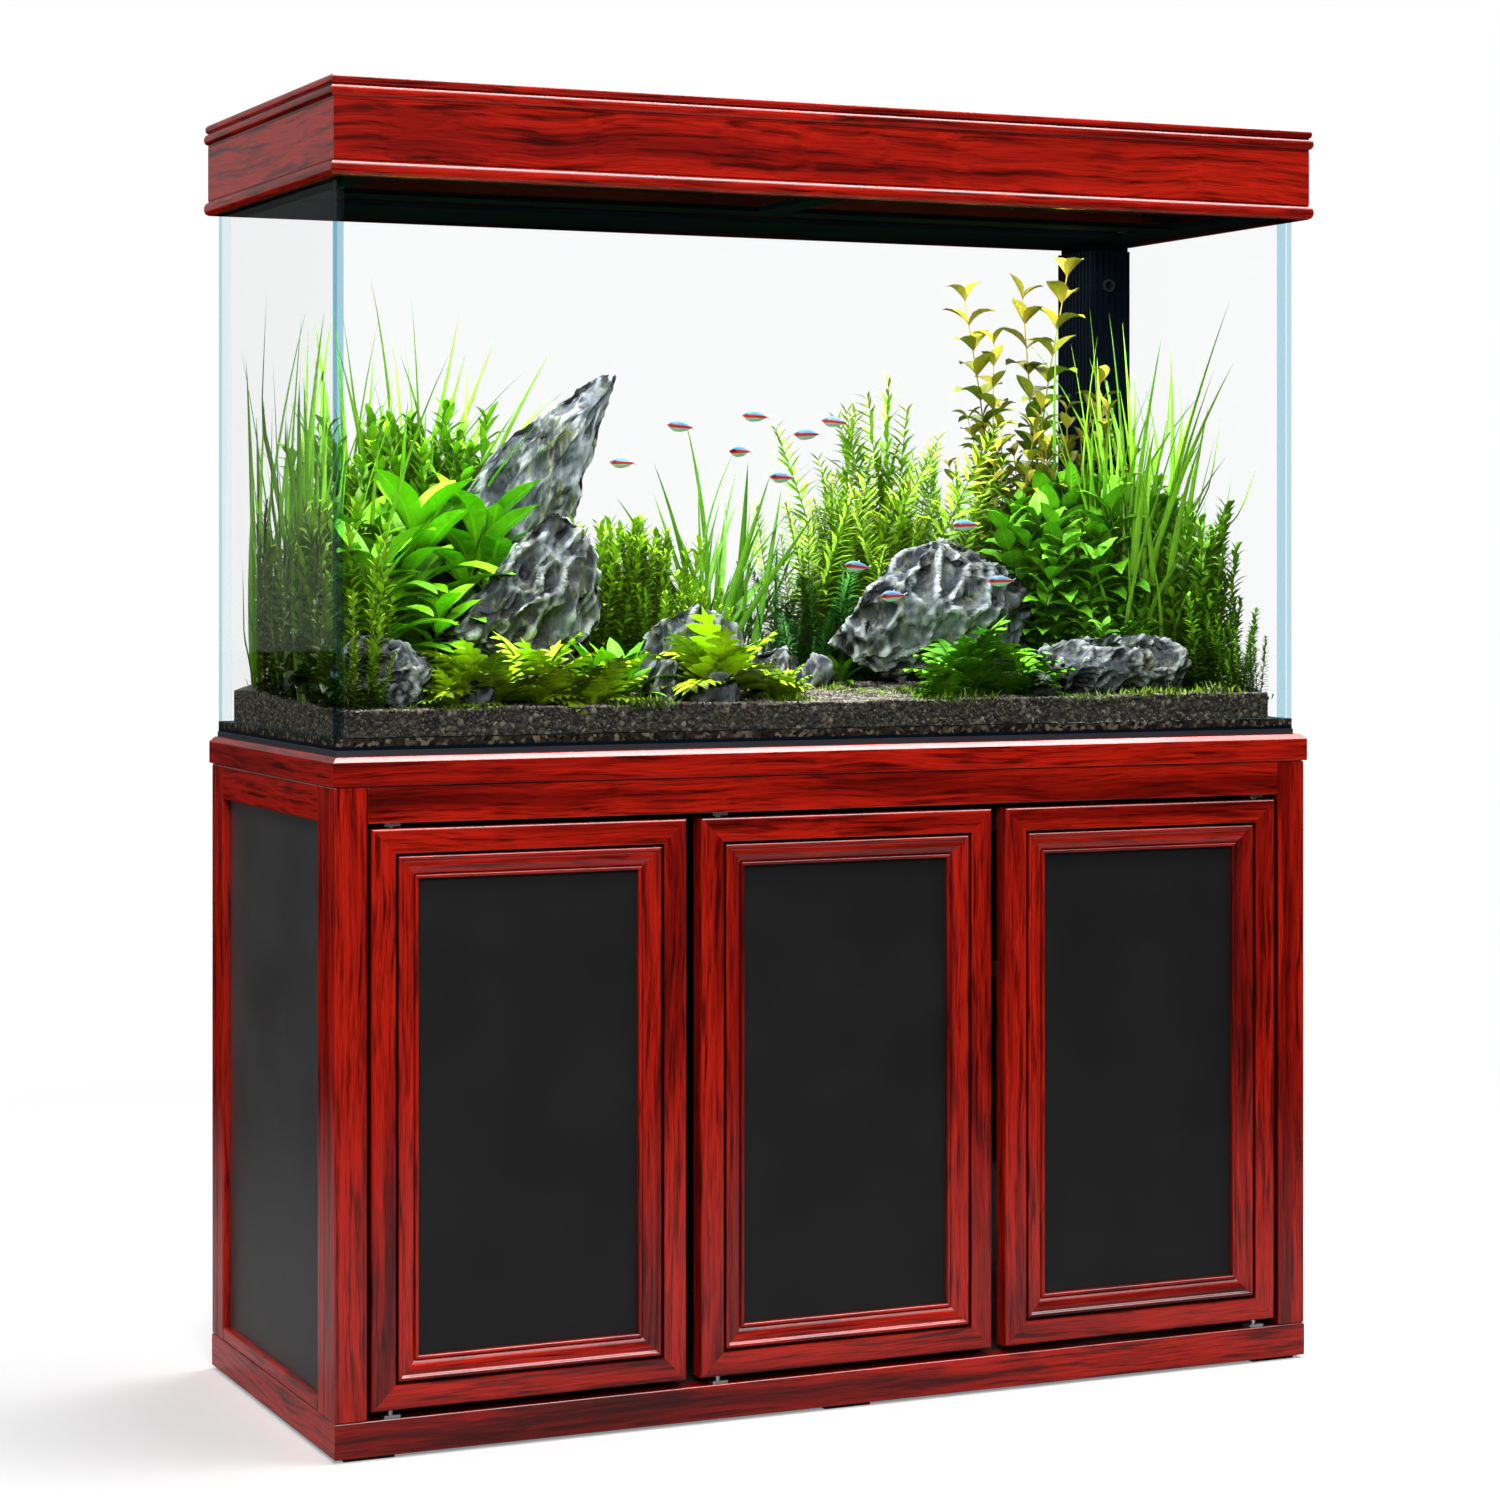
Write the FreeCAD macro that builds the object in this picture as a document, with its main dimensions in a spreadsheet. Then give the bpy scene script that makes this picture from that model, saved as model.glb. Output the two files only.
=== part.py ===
"""Aquarium on a three-door wooden stand, with a lift-off hood, corner overflow and sump filter.

Millimetres.  +Z is up, +X is the viewer's right when facing the doors, and the front faces -Y.
The origin is the middle of the footprint, at floor level.
"""
import FreeCAD, Part
import Sketcher
import math
import os
import re

Vector = FreeCAD.Vector
Rotation = FreeCAD.Rotation
Placement = FreeCAD.Placement

DIMENSIONS = [
    # cabinet
    ("cabinet_width", 1200, "over the posts"),
    ("cabinet_depth", 480, "over the posts"),
    ("pad_height", 4, "rubber pads under the plinth"),
    ("plinth_top", 42, "top of the plinth"),
    ("board_thick", 22, "solid wood rails, plinth and doors"),
    ("post_width", 36, "front face of a post"),
    ("post_depth_front", 62, "side face of a front post"),
    ("post_depth_rear", 46, "side face of a rear post"),
    ("floor_thick", 16, "cabinet floor"),
    ("rail_bottom", 671, "underside of the top rails"),
    ("cap_bottom", 711, "underside of the cap"),
    ("cap_top", 742, "top of the cap"),
    ("cap_overhang", 2.5, "cap past the posts"),
    ("cap_chamfer", 4, "top edge of the cap"),
    ("side_rail_top", 58, "top of the side bottom rails"),
    ("panel_recess", 10, "side panel behind the post face"),
    ("panel_thick", 8, "side and door panels"),
    ("back_thick", 6, "back panels"),
    ("back_opening_left", 200, "left edge of the opening in the back, for hoses and leads"),
    ("back_opening_right", 350, "right edge of the opening in the back"),
    ("divider_thick", 18, "upright dividers"),
    ("divider_front", -198, "front edge of a divider, clear of the turning doors"),
    # doors
    ("door_bottom", 50, "lower edge of a door"),
    ("door_top", 666, "upper edge of a door"),
    ("door_end_gap", 4.5, "door to post"),
    ("door_gap", 17, "finger gap between two doors"),
    ("frame_width", 27, "face of a door frame member"),
    ("frame_tongue", 33, "frame member with its tongue"),
    ("frame_chamfer", 3, "outer front edge of the frame"),
    ("tongue_thick", 10, "back part of the frame member"),
    ("groove_width", 3, "groove between frame and moulding"),
    ("moulding_width", 25, "inner door moulding"),
    ("pivot_inset", 24, "pivot axis from the door's hinge edge"),
    ("pivot_radius", 3, "pivot pin"),
    ("pivot_clearance", 0.05, "radial, pin to bush"),
    ("bush_radius", 5, "outside of a pivot bush"),
    ("bush_length", 12, "pivot bush"),
    ("pivot_reach", 9, "pin inside the bush"),
    ("plate_thick", 3, "pivot plate"),
    # tank
    ("mat_thick", 6, "foam mat under the tank"),
    ("tank_half_width", 593, "outside of the glass"),
    ("tank_front", -224, "outside of the front pane"),
    ("tank_rear", 236, "outside of the rear pane"),
    ("glass_thick", 12, "all panes"),
    ("tank_top", 1357, "top edge of the glass"),
    ("silicone_thick", 1, "butt joints of the side panes"),
    ("soil_right", 571, "right end of the soil"),
    ("soil_front_top", 799, "soil against the front pane"),
    ("soil_middle_top", 815, "middle terrace"),
    ("soil_rear_top", 835, "rear terrace"),
    ("terrace_front", -100, "front edge of the middle terrace"),
    ("terrace_rear", 60, "front edge of the rear terrace"),
    # overflow corner
    ("overflow_left", 526, "outside of its left wall"),
    ("overflow_front", 136, "outside of its front wall"),
    ("overflow_top", 1345, "top of its walls"),
    ("overflow_wall", 5, "wall"),
    ("rib_height", 2.5, "upright ribs"),
    ("rib_width", 3, "upright ribs"),
    ("rib_pitch", 9, "ribs and weir slots"),
    ("weir_slot", 4, "slot width"),
    ("weir_depth", 26, "slot height"),
    # pipework
    ("pipe_x", 548, "both risers"),
    ("drain_y", 158.5, "drain riser"),
    ("return_y", 198, "return riser"),
    ("drain_radius", 10, "drain pipe"),
    ("return_radius", 8, "return pipe"),
    ("pipe_wall", 2, "pipe wall"),
    ("drain_level", 430, "cross run of the drain"),
    ("drain_mouth_x", 270, "drain mouth over the filter tray"),
    ("drain_mouth", 330, "height of the drain mouth"),
    ("drain_top", 1280, "open top of the standpipe"),
    ("return_level", 395, "cross run of the return"),
    ("return_outlet", 1300, "return outlet through the overflow wall"),
    ("pump_y", 140, "pump outlet"),
    ("pump_top", 140, "top of the pump's outlet stub"),
    ("flange_radius", 16, "bulkhead flange"),
    ("nut_radius", 14.5, "bulkhead nut"),
    ("shank_radius", 12.5, "bulkhead shank"),
    ("valve_radius", 15, "valve body"),
    ("valve_height", 44, "valve body"),
    ("drain_valve", 636, "height of the drain valve's stem"),
    ("return_valve", 540, "height of the return valve's stem"),
    ("stem_radius", 4, "valve stem"),
    ("lever_length", 58, "valve lever from its stem"),
    # sump
    ("sump_left", 215, "outside"),
    ("sump_right", 567, "outside"),
    ("sump_front", -165, "outside"),
    ("sump_rear", 187, "outside"),
    ("sump_top", 342, "rim"),
    ("sump_glass", 5, "sump panes"),
    ("tray_bottom", 246, "filter tray on its ledges"),
    ("tray_height", 70, "filter tray"),
    ("tray_wall", 3, "filter tray"),
    # hood
    ("hood_half_width", 603, "outside of the hood boards"),
    ("hood_half_depth", 246, "outside of the hood boards"),
    ("hood_board", 15, "hood boards"),
    ("bead_out", 4, "mouldings past the hood boards"),
    ("bead_bottom", 1353.5, "lower edge of the hood"),
    ("hood_board_bottom", 1370, "lower edge of the hood boards"),
    ("hood_board_top", 1434, "upper edge of the hood boards"),
    ("crown_top", 1460, "top of the hood"),
    ("bead_width", 12, "lower moulding"),
    ("crown_width", 42, "crown moulding with its rebate"),
    ("crown_rim", 30, "crown moulding up to the rebate"),
    ("ledge_height", 10, "rebate floor above the hood boards"),
    ("lid_thick", 8, "lids and rear top board"),
    ("ceiling_thick", 6, "black inner ceiling"),
    ("lid_hinge_y", 61, "lid hinge axis"),
    ("lid_gap", 1, "clearance round the lids"),
    ("knuckle_radius", 3.2, "lid hinge knuckle"),
    ("lid_pin_radius", 1.5, "lid hinge pin"),
    ("lamp_front", 20, "lamp"),
    ("lamp_rear", 80, "lamp"),
    ("lamp_half_length", 530, "lamp"),
]

doc = FreeCAD.newDocument("AquariumOnStand")
sheet = doc.addObject("Spreadsheet::Sheet", "Dims")
for row, (alias, value, note) in enumerate(DIMENSIONS, start=1):
    sheet.set("A%d" % row, alias)
    sheet.set("B%d" % row, str(value))
    sheet.setAlias("B%d" % row, alias)
    sheet.set("C%d" % row, note)
doc.recompute()

ALIASES = {alias for alias, _, _ in DIMENSIONS}
nodes = []


def cell(text):
    """The expression with every driving dimension read from the sheet."""
    def named(word):
        return "Dims." + word.group(0) if word.group(0) in ALIASES else word.group(0)
    return re.sub(r"[a-z][a-z_]*[a-z]", named, str(text))


def bind(thing, **sizes):
    """Bind properties of a document object to expressions."""
    for name, text in sizes.items():
        thing.setExpression(name, cell(text))


def place(thing, x, y, z, turn=None):
    """Turn an object, and bind its place."""
    if turn is not None:
        thing.Placement = Placement(Vector(0, 0, 0), turn)
    for axis, text in zip("xyz", (x, y, z)):
        thing.setExpression("Placement.Base." + axis, cell(text))
    return thing


def node(name, *pieces):
    """Name one sub-part: a single object, or a group of separate solids."""
    if len(pieces) == 1:
        thing = pieces[0]
    else:
        thing = doc.addObject("Part::Compound", name)
        thing.Links = list(pieces)
    thing.Label = name
    nodes.append(thing)
    return thing


def board(x, y, z):
    """A rectangular board from its low and high faces on each axis."""
    box = doc.addObject("Part::Box", "board")
    bind(box, Length="(%s) - (%s)" % (x[1], x[0]), Width="(%s) - (%s)" % (y[1], y[0]),
         Height="(%s) - (%s)" % (z[1], z[0]))
    return place(box, x[0], y[0], z[0])


def mirrored_boards(x, y, z):
    """The same board on the right, and its mirror image on the left."""
    return board(x, y, z), board(("-(%s)" % x[1], "-(%s)" % x[0]), y, z)


TOWARDS = {"+z": Rotation(), "-z": Rotation(Vector(1, 0, 0), 180), "+x": Rotation(Vector(0, 1, 0), 90),
           "-x": Rotation(Vector(0, 1, 0), -90), "+y": Rotation(Vector(1, 0, 0), -90),
           "-y": Rotation(Vector(1, 0, 0), 90)}


def rod(x, y, z, radius, length, towards="+z"):
    """A round bar from its starting point in one of the axis directions."""
    bar = doc.addObject("Part::Cylinder", "rod")
    bind(bar, Radius=radius, Height=length)
    return place(bar, x, y, z, TOWARDS[towards])


def ball(x, y, z, radius):
    sphere = doc.addObject("Part::Sphere", "ball")
    bind(sphere, Radius=radius)
    return place(sphere, x, y, z)


def fused(*pieces):
    fuse = doc.addObject("Part::MultiFuse", "fused")
    fuse.Shapes = list(pieces)
    return fuse


def cut(base, *tools):
    hole = doc.addObject("Part::Cut", "cut")
    hole.Base = base
    hole.Tool = tools[0] if len(tools) == 1 else fused(*tools)
    return hole


def tube(x, y, z, radius, bore, length, towards="+z"):
    return cut(rod(x, y, z, radius, length, towards), rod(x, y, z, bore, length, towards))


def sketch(body, role, corners=(), circles=()):
    """A closed outline, or circles, on one of the body's own origin planes, bound to the sheet."""
    plane = next(item for item in body.Origin.OriginFeatures if item.Role == role)
    drawing = body.newObject("Sketcher::SketchObject", "outline")
    drawing.AttachmentSupport = (plane, [""])
    drawing.MapMode = "FlatFace"
    count = len(corners)
    start = [Vector(math.cos(math.tau * k / count), math.sin(math.tau * k / count), 0) for k in range(count)]
    for k in range(count):
        drawing.addGeometry(Part.LineSegment(start[k], start[(k + 1) % count]), False)
    for k in range(count):
        drawing.addConstraint(Sketcher.Constraint("Coincident", k, 2, (k + 1) % count, 1))
    for k, corner in enumerate(corners):
        fix_point(drawing, k, 1, start[k], corner)
    for centre_u, centre_v, radius in circles:
        ring = drawing.addGeometry(Part.Circle(Vector(1, 1, 0), Vector(0, 0, 1), 1), False)
        fix_point(drawing, ring, 3, Vector(1, 1, 0), (centre_u, centre_v))
        size = drawing.addConstraint(Sketcher.Constraint("Radius", ring, 1.0))
        drawing.setExpression("Constraints[%d]" % size, cell(radius))
    return drawing


def fix_point(drawing, edge, end, start, target):
    """Bind a point of a sketch to two coordinates measured from the origin."""
    for kind, first, text in (("DistanceX", start.x, target[0]), ("DistanceY", start.y, target[1])):
        rule = drawing.addConstraint(Sketcher.Constraint(kind, -1, 1, edge, end, first))
        drawing.setExpression("Constraints[%d]" % rule, cell(text))


def pocket(body, drawing):
    """Cut a sketch right through the body, both ways."""
    hole = body.newObject("PartDesign::Pocket", "pocket")
    hole.Profile = drawing
    hole.Type = "ThroughAll"
    hole.Midplane = True
    return hole


def slab(x, y, z, windows=(), holes=(), top_chamfer=None):
    """A plate, with rectangular windows and round holes cut through it."""
    body = doc.addObject("PartDesign::Body", "slab")
    outline = [(x[0], y[0]), (x[1], y[0]), (x[1], y[1]), (x[0], y[1])]
    pad = body.newObject("PartDesign::Pad", "pad")
    pad.Profile = sketch(body, "XY_Plane", outline)
    bind(pad, Length="(%s) - (%s)" % (z[1], z[0]))
    if top_chamfer:
        doc.recompute()
        rim = ["Edge%d" % (k + 1) for k, edge in enumerate(pad.Shape.Edges)
               if min(point.Z for point in edge.Vertexes) > pad.Shape.BoundBox.ZMax - 0.01]
        chamfer = body.newObject("PartDesign::Chamfer", "chamfer")
        chamfer.Base = (pad, rim)
        bind(chamfer, Size=top_chamfer)
    for across, along in windows:
        corners = [(across[0], along[0]), (across[1], along[0]), (across[1], along[1]), (across[0], along[1])]
        pocket(body, sketch(body, "XY_Plane", corners))
    for hole in holes:
        pocket(body, sketch(body, "XY_Plane", circles=[hole]))
    return place(body, 0, 0, z[0])


def strip(length, section, mitre, bore=None):
    """One member of a frame: the section runs along X, and both ends are mitred towards +Y.

    The section's first coordinate is measured inwards from the outer edge and its second
    from the back face.  A bore, if any, enters from the outer edge.
    """
    body = doc.addObject("PartDesign::Body", "strip")
    pad = body.newObject("PartDesign::Pad", "run")
    pad.Profile = sketch(body, "YZ_Plane", section)
    pad.Midplane = True
    bind(pad, Length=length)
    for sign in ("", "-"):
        corners = [(sign + "(%s)/2" % length, "0"), (sign + "((%s)/2 - (%s))" % (length, mitre), mitre),
                   (sign + "(%s)/2" % length, mitre)]
        pocket(body, sketch(body, "XY_Plane", corners))
    if bore:
        doc.recompute()
        before = body.Shape.Volume
        hole = body.newObject("PartDesign::Pocket", "bore")
        hole.Profile = sketch(body, "XZ_Plane", circles=[(bore[0], bore[1], "bush_radius")])
        bind(hole, Length="bush_length")
        doc.recompute()
        if body.Shape.Volume > before - 1:
            raise RuntimeError("the bush bore cut nothing")
    return body


UPRIGHT = Rotation(Vector(1, 0, 0), 90)


def ring(across, along, section, mitre, centre, upright=False, bores=(None, None)):
    """Four mitred members round a rectangle, lying flat or standing with their faces to the front."""
    members = []
    x, y, z = centre
    for quarter in range(4):
        lengthwise = quarter % 2 == 0
        member = strip(across if lengthwise else along, section, mitre,
                       bores[quarter // 2] if lengthwise else None)
        shift_u = ("0", "(%s)/2" % across, "0", "-(%s)/2" % across)[quarter]
        shift_v = ("-(%s)/2" % along, "0", "(%s)/2" % along, "0")[quarter]
        turn = Rotation(Vector(0, 0, 1), 90 * quarter)
        if upright:
            place(member, "%s + (%s)" % (x, shift_u), y, "%s + (%s)" % (z, shift_v), UPRIGHT.multiply(turn))
        else:
            place(member, "%s + (%s)" % (x, shift_u), "%s + (%s)" % (y, shift_v), z, turn)
        members.append(member)
    return members


# ---------------------------------------------------------------- cabinet
HALF_W = "cabinet_width/2"
HALF_D = "cabinet_depth/2"
SPAN_X = ("-(%s - post_width)" % HALF_W, "%s - post_width" % HALF_W)
SPAN_Y = ("-(%s - post_depth_front)" % HALF_D, "%s - post_depth_rear" % HALF_D)
FULL_X = ("-" + HALF_W, HALF_W)
FRONT = ("-" + HALF_D, "-(%s - board_thick)" % HALF_D)
REAR = ("%s - board_thick" % HALF_D, HALF_D)
BETWEEN_Y = (FRONT[1], REAR[0])
SIDE = ("%s - board_thick" % HALF_W, HALF_W)
PAD_INSET = 12
PAD_LENGTH = 56
PAD_WIDTH = 36


def make_plinth():
    pads = []
    for centre_x in ("-(%s - %d)" % (HALF_W, PAD_INSET + PAD_LENGTH / 2), "0",
                     "%s - %d" % (HALF_W, PAD_INSET + PAD_LENGTH / 2)):
        for centre_y in ("-(%s - %d)" % (HALF_D, PAD_INSET / 2 + PAD_WIDTH / 2),
                         "%s - %d" % (HALF_D, PAD_INSET / 2 + PAD_WIDTH / 2)):
            pads.append(board(("%s - %d" % (centre_x, PAD_LENGTH / 2), "%s + %d" % (centre_x, PAD_LENGTH / 2)),
                              ("%s - %d" % (centre_y, PAD_WIDTH / 2), "%s + %d" % (centre_y, PAD_WIDTH / 2)),
                              ("0", "pad_height")))
    node("foot_pads", *pads)
    height = ("pad_height", "plinth_top")
    node("plinth_boards", board(FULL_X, FRONT, height), board(FULL_X, REAR, height),
         *mirrored_boards(SIDE, BETWEEN_Y, height))
    node("floor_board", board(("-(%s)" % SIDE[0], SIDE[0]), BETWEEN_Y,
                              ("plinth_top - floor_thick", "plinth_top")))


def make_carcass():
    height = ("plinth_top", "cap_bottom")
    post_x = ("%s - post_width" % HALF_W, HALF_W)
    node("posts",
         *mirrored_boards(post_x, ("-" + HALF_D, SPAN_Y[0]), height),
         *mirrored_boards(post_x, (SPAN_Y[1], HALF_D), height))
    rail = ("rail_bottom", "cap_bottom")
    node("top_rails", board(SPAN_X, FRONT, rail), board(SPAN_X, REAR, rail),
         *mirrored_boards(SIDE, SPAN_Y, rail))
    node("side_bottom_rails", *mirrored_boards(SIDE, SPAN_Y, ("plinth_top", "side_rail_top")))
    panel_x = ("%s - panel_recess - panel_thick" % HALF_W, "%s - panel_recess" % HALF_W)
    panel_z = ("side_rail_top", "rail_bottom")
    node("side_panels", *mirrored_boards(panel_x, SPAN_Y, panel_z))
    back_y = ("%s - back_thick" % REAR[1], REAR[1])
    back_z = ("plinth_top", "rail_bottom")
    node("back_panels", board((SPAN_X[0], "back_opening_left"), back_y, back_z),
         board(("back_opening_right", SPAN_X[1]), back_y, back_z))
    divider_x = "(door_gap + %s)/2" % DOOR_WIDTH
    node("dividers", *mirrored_boards(("%s - divider_thick/2" % divider_x, "%s + divider_thick/2" % divider_x),
                                      ("divider_front", REAR[0]), height))
    pipe_window = (("pipe_x - 18", "pipe_x + 18"), ("drain_y - 18", "return_y + 18"))
    node("cap_board", slab(("-(%s + cap_overhang)" % HALF_W, "%s + cap_overhang" % HALF_W),
                           ("-(%s + cap_overhang)" % HALF_D, "%s + cap_overhang" % HALF_D),
                           ("cap_bottom", "cap_top"), windows=[pipe_window], top_chamfer="cap_chamfer"))
    node("base_mat", slab(("-(tank_half_width + 1)", "tank_half_width + 1"), ("tank_front - 1", "tank_rear + 1"),
                          ("cap_top", MAT_TOP), windows=[pipe_window]))


# ---------------------------------------------------------------- doors
DOOR_WIDTH = "(cabinet_width - 2*post_width - 2*door_end_gap - 2*door_gap)/3"
DOOR_HEIGHT = "(door_top - door_bottom)"
DOOR_BACK = "-(%s - board_thick)" % HALF_D
PIVOT_Y = "-(%s - board_thick/2)" % HALF_D
RING_INSET = "(frame_width + groove_width)"
MAT_TOP = "(cap_top + mat_thick)"
GLASS_FLOOR = "(cap_top + mat_thick + glass_thick)"

FRAME_SECTION = [("0", "0"), ("frame_tongue", "0"), ("frame_tongue", "tongue_thick"),
                 ("frame_width", "tongue_thick"), ("frame_width", "board_thick - 1"),
                 ("frame_width - 1", "board_thick"), ("frame_chamfer", "board_thick"),
                 ("0", "board_thick - frame_chamfer")]
MOULDING_SECTION = [("0", "tongue_thick"), ("moulding_width", "tongue_thick"),
                    ("moulding_width", "tongue_thick + 5"), ("moulding_width - 3.5", "tongue_thick + 5.5"),
                    ("moulding_width - 4", "tongue_thick + 4"), ("10", "board_thick - 2.5"),
                    ("7.5", "board_thick - 3.5"), ("5", "board_thick"), ("1", "board_thick"),
                    ("0", "board_thick - 1")]


def make_door(name, left_edge, hinge_on_right):
    """One door: mitred frame, mitred inner moulding, black panel, pivot bushes and strike plate."""
    centre_x = "(%s) + %s/2" % (left_edge, DOOR_WIDTH)
    centre_z = "(door_bottom + door_top)/2"
    side = 1 if hinge_on_right else -1
    pivot_shift = "%d*(%s/2 - pivot_inset)" % (side, DOOR_WIDTH)
    bores = ((pivot_shift, "board_thick/2"), ("-1*(%s)" % pivot_shift, "board_thick/2"))
    node(name + "_door_frame",
         *ring(DOOR_WIDTH, DOOR_HEIGHT, FRAME_SECTION, "frame_tongue", (centre_x, DOOR_BACK, centre_z),
               upright=True, bores=bores))
    node(name + "_door_moulding",
         *ring("(%s - 2*%s)" % (DOOR_WIDTH, RING_INSET), "(%s - 2*%s)" % (DOOR_HEIGHT, RING_INSET),
               MOULDING_SECTION, "moulding_width", (centre_x, DOOR_BACK, centre_z), upright=True))
    panel_y = ("%s - tongue_thick" % DOOR_BACK, "%s - tongue_thick + panel_thick" % DOOR_BACK)
    node(name + "_door_panel",
         board(("(%s) + frame_tongue" % left_edge, "(%s) + %s - frame_tongue" % (left_edge, DOOR_WIDTH)),
               panel_y, ("door_bottom + frame_tongue", "door_top - frame_tongue")))
    pivot_x = "%s + (%s)" % (centre_x, pivot_shift)
    bore = "pivot_radius + pivot_clearance"
    bushes = [tube(pivot_x, PIVOT_Y, "door_bottom", "bush_radius", bore, "bush_length"),
              tube(pivot_x, PIVOT_Y, "door_top - bush_length", "bush_radius", bore, "bush_length")]
    strike_x = "%s + %d*(%s/2 - 16)" % (centre_x, -side, DOOR_WIDTH)
    strike = board(("%s - 10" % strike_x, "%s + 10" % strike_x), (DOOR_BACK, "%s + 1.2" % DOOR_BACK),
                   ("door_top - 24", "door_top - 10"))
    node(name + "_door_fittings", *bushes, strike)
    return pivot_x, strike_x


def make_doors():
    first = "-(%s) + post_width + door_end_gap" % HALF_W
    pitch = "(%s + door_gap)" % DOOR_WIDTH
    pivots = []
    magnets = []
    for k, (name, hinge_on_right) in enumerate((("left", False), ("middle", False), ("right", True))):
        pivot_x, strike_x = make_door(name, "%s + %d*%s" % (first, k, pitch), hinge_on_right)
        plate_x = ("%s - 9" % pivot_x, "%s + 9" % pivot_x)
        plate_y = ("%s - 8" % PIVOT_Y, "%s + 8" % PIVOT_Y)
        lower = fused(board(plate_x, plate_y, ("plinth_top", "plinth_top + plate_thick")),
                      rod(pivot_x, PIVOT_Y, "plinth_top", "pivot_radius",
                          "door_bottom + pivot_reach - plinth_top"))
        upper = fused(board(plate_x, plate_y, ("rail_bottom - plate_thick", "rail_bottom")),
                      rod(pivot_x, PIVOT_Y, "rail_bottom", "pivot_radius",
                          "rail_bottom - door_top + pivot_reach", "-z"))
        pivots += [lower, upper]
        magnet_x = ("%s - 16" % strike_x, "%s + 16" % strike_x)
        magnets.append(fused(board(magnet_x, (DOOR_BACK, "%s + 16" % DOOR_BACK), ("rail_bottom", "rail_bottom + 18")),
                             board(magnet_x, ("%s + 1.5" % DOOR_BACK, "%s + 16" % DOOR_BACK),
                                   ("door_top - 28", "rail_bottom + 1"))))
    node("hinge_pivots", *pivots)
    node("door_magnets", *magnets)


# ---------------------------------------------------------------- tank
INNER_X = ("-(tank_half_width - glass_thick)", "tank_half_width - glass_thick")
INNER_Y = ("tank_front + glass_thick", "tank_rear - glass_thick")


def make_tank():
    wall_z = (GLASS_FLOOR, "tank_top")
    full_x = ("-tank_half_width", "tank_half_width")
    node("tank_floor_glass",
         slab(full_x, ("tank_front", "tank_rear"), (MAT_TOP, GLASS_FLOOR),
              holes=[("pipe_x", "drain_y", "shank_radius"), ("pipe_x", "return_y", "shank_radius")]))
    node("front_pane", board(full_x, ("tank_front", INNER_Y[0]), wall_z))
    node("rear_pane", board(full_x, (INNER_Y[1], "tank_rear"), wall_z))
    side_y = ("%s + silicone_thick" % INNER_Y[0], "%s - silicone_thick" % INNER_Y[1])
    side_x = (INNER_X[1], "tank_half_width")
    node("side_panes", *mirrored_boards(side_x, side_y, wall_z))
    node("silicone_seams", *mirrored_boards(side_x, (INNER_Y[0], side_y[0]), wall_z),
         *mirrored_boards(side_x, (side_y[1], INNER_Y[1]), wall_z))


def make_overflow():
    left, front = "overflow_left", "overflow_front"
    inner_left, inner_front = "overflow_left + overflow_wall", "overflow_front + overflow_wall"
    right, rear = INNER_X[1], INNER_Y[1]
    height = (GLASS_FLOOR, "overflow_top")
    front_ribs, left_ribs = 6, 10
    walls = [board((left, right), (front, inner_front), height), board((left, inner_left), (front, rear), height)]
    slots = []
    slot_z = ("overflow_top - weir_depth", "overflow_top + 1")
    for k in range(front_ribs):
        start = "overflow_left + 1 + %d*rib_pitch" % k
        walls.append(board((start, "%s + rib_width" % start), ("overflow_front - rib_height", inner_front), height))
        slots.append(board(("%s + rib_width + 1" % start, "%s + rib_width + 1 + weir_slot" % start),
                           ("overflow_front - 1", "%s + 1" % inner_front), slot_z))
    for k in range(left_ribs):
        start = "overflow_front + 1 + %d*rib_pitch" % k
        walls.append(board(("overflow_left - rib_height", inner_left), (start, "%s + rib_width" % start), height))
        if k < left_ribs - 1:
            slots.append(board(("overflow_left - 1", "%s + 1" % inner_left),
                               ("%s + rib_width + 1" % start, "%s + rib_width + 1 + weir_slot" % start), slot_z))
    outlet = rod("pipe_x", "overflow_front - 10", "return_outlet", "return_radius", "30", "+y")
    node("overflow_box", cut(fused(*walls), outlet, *slots))


def make_soil():
    clear = "0.3"
    x = ("%s + %s" % (INNER_X[0], clear), "soil_right")
    node("soil_bed",
         board(x, ("%s + %s" % (INNER_Y[0], clear), "terrace_front"), (GLASS_FLOOR, "soil_front_top")),
         board(x, ("terrace_front", "terrace_rear"), (GLASS_FLOOR, "soil_middle_top")),
         board((x[0], "overflow_left - rib_height - 1"), ("terrace_rear", "%s - %s" % (INNER_Y[1], clear)),
               (GLASS_FLOOR, "soil_rear_top")))


def mound(x, y, base, top, taper, lean=0):
    """A tapered block for a rock or a plant: its top is smaller by taper each side and leans to +X."""
    block = doc.addObject("Part::Wedge", "mound")
    shrink_x = taper * (x[1] - x[0])
    shrink_y = taper * (y[1] - y[0])
    bind(block, Xmin=x[0], Xmax=x[1], Zmin=-y[1], Zmax=-y[0], Ymin=base, Ymax=top,
         X2min=x[0] + shrink_x + lean, X2max=x[1] - shrink_x + lean,
         Z2min=-y[1] + shrink_y, Z2max=-y[0] - shrink_y)
    block.Placement = Placement(Vector(0, 0, 0), UPRIGHT)
    return block


FRONT_BED, MIDDLE_BED, REAR_BED = "soil_front_top + 0.3", "soil_middle_top + 0.3", "soil_rear_top + 0.3"

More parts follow.
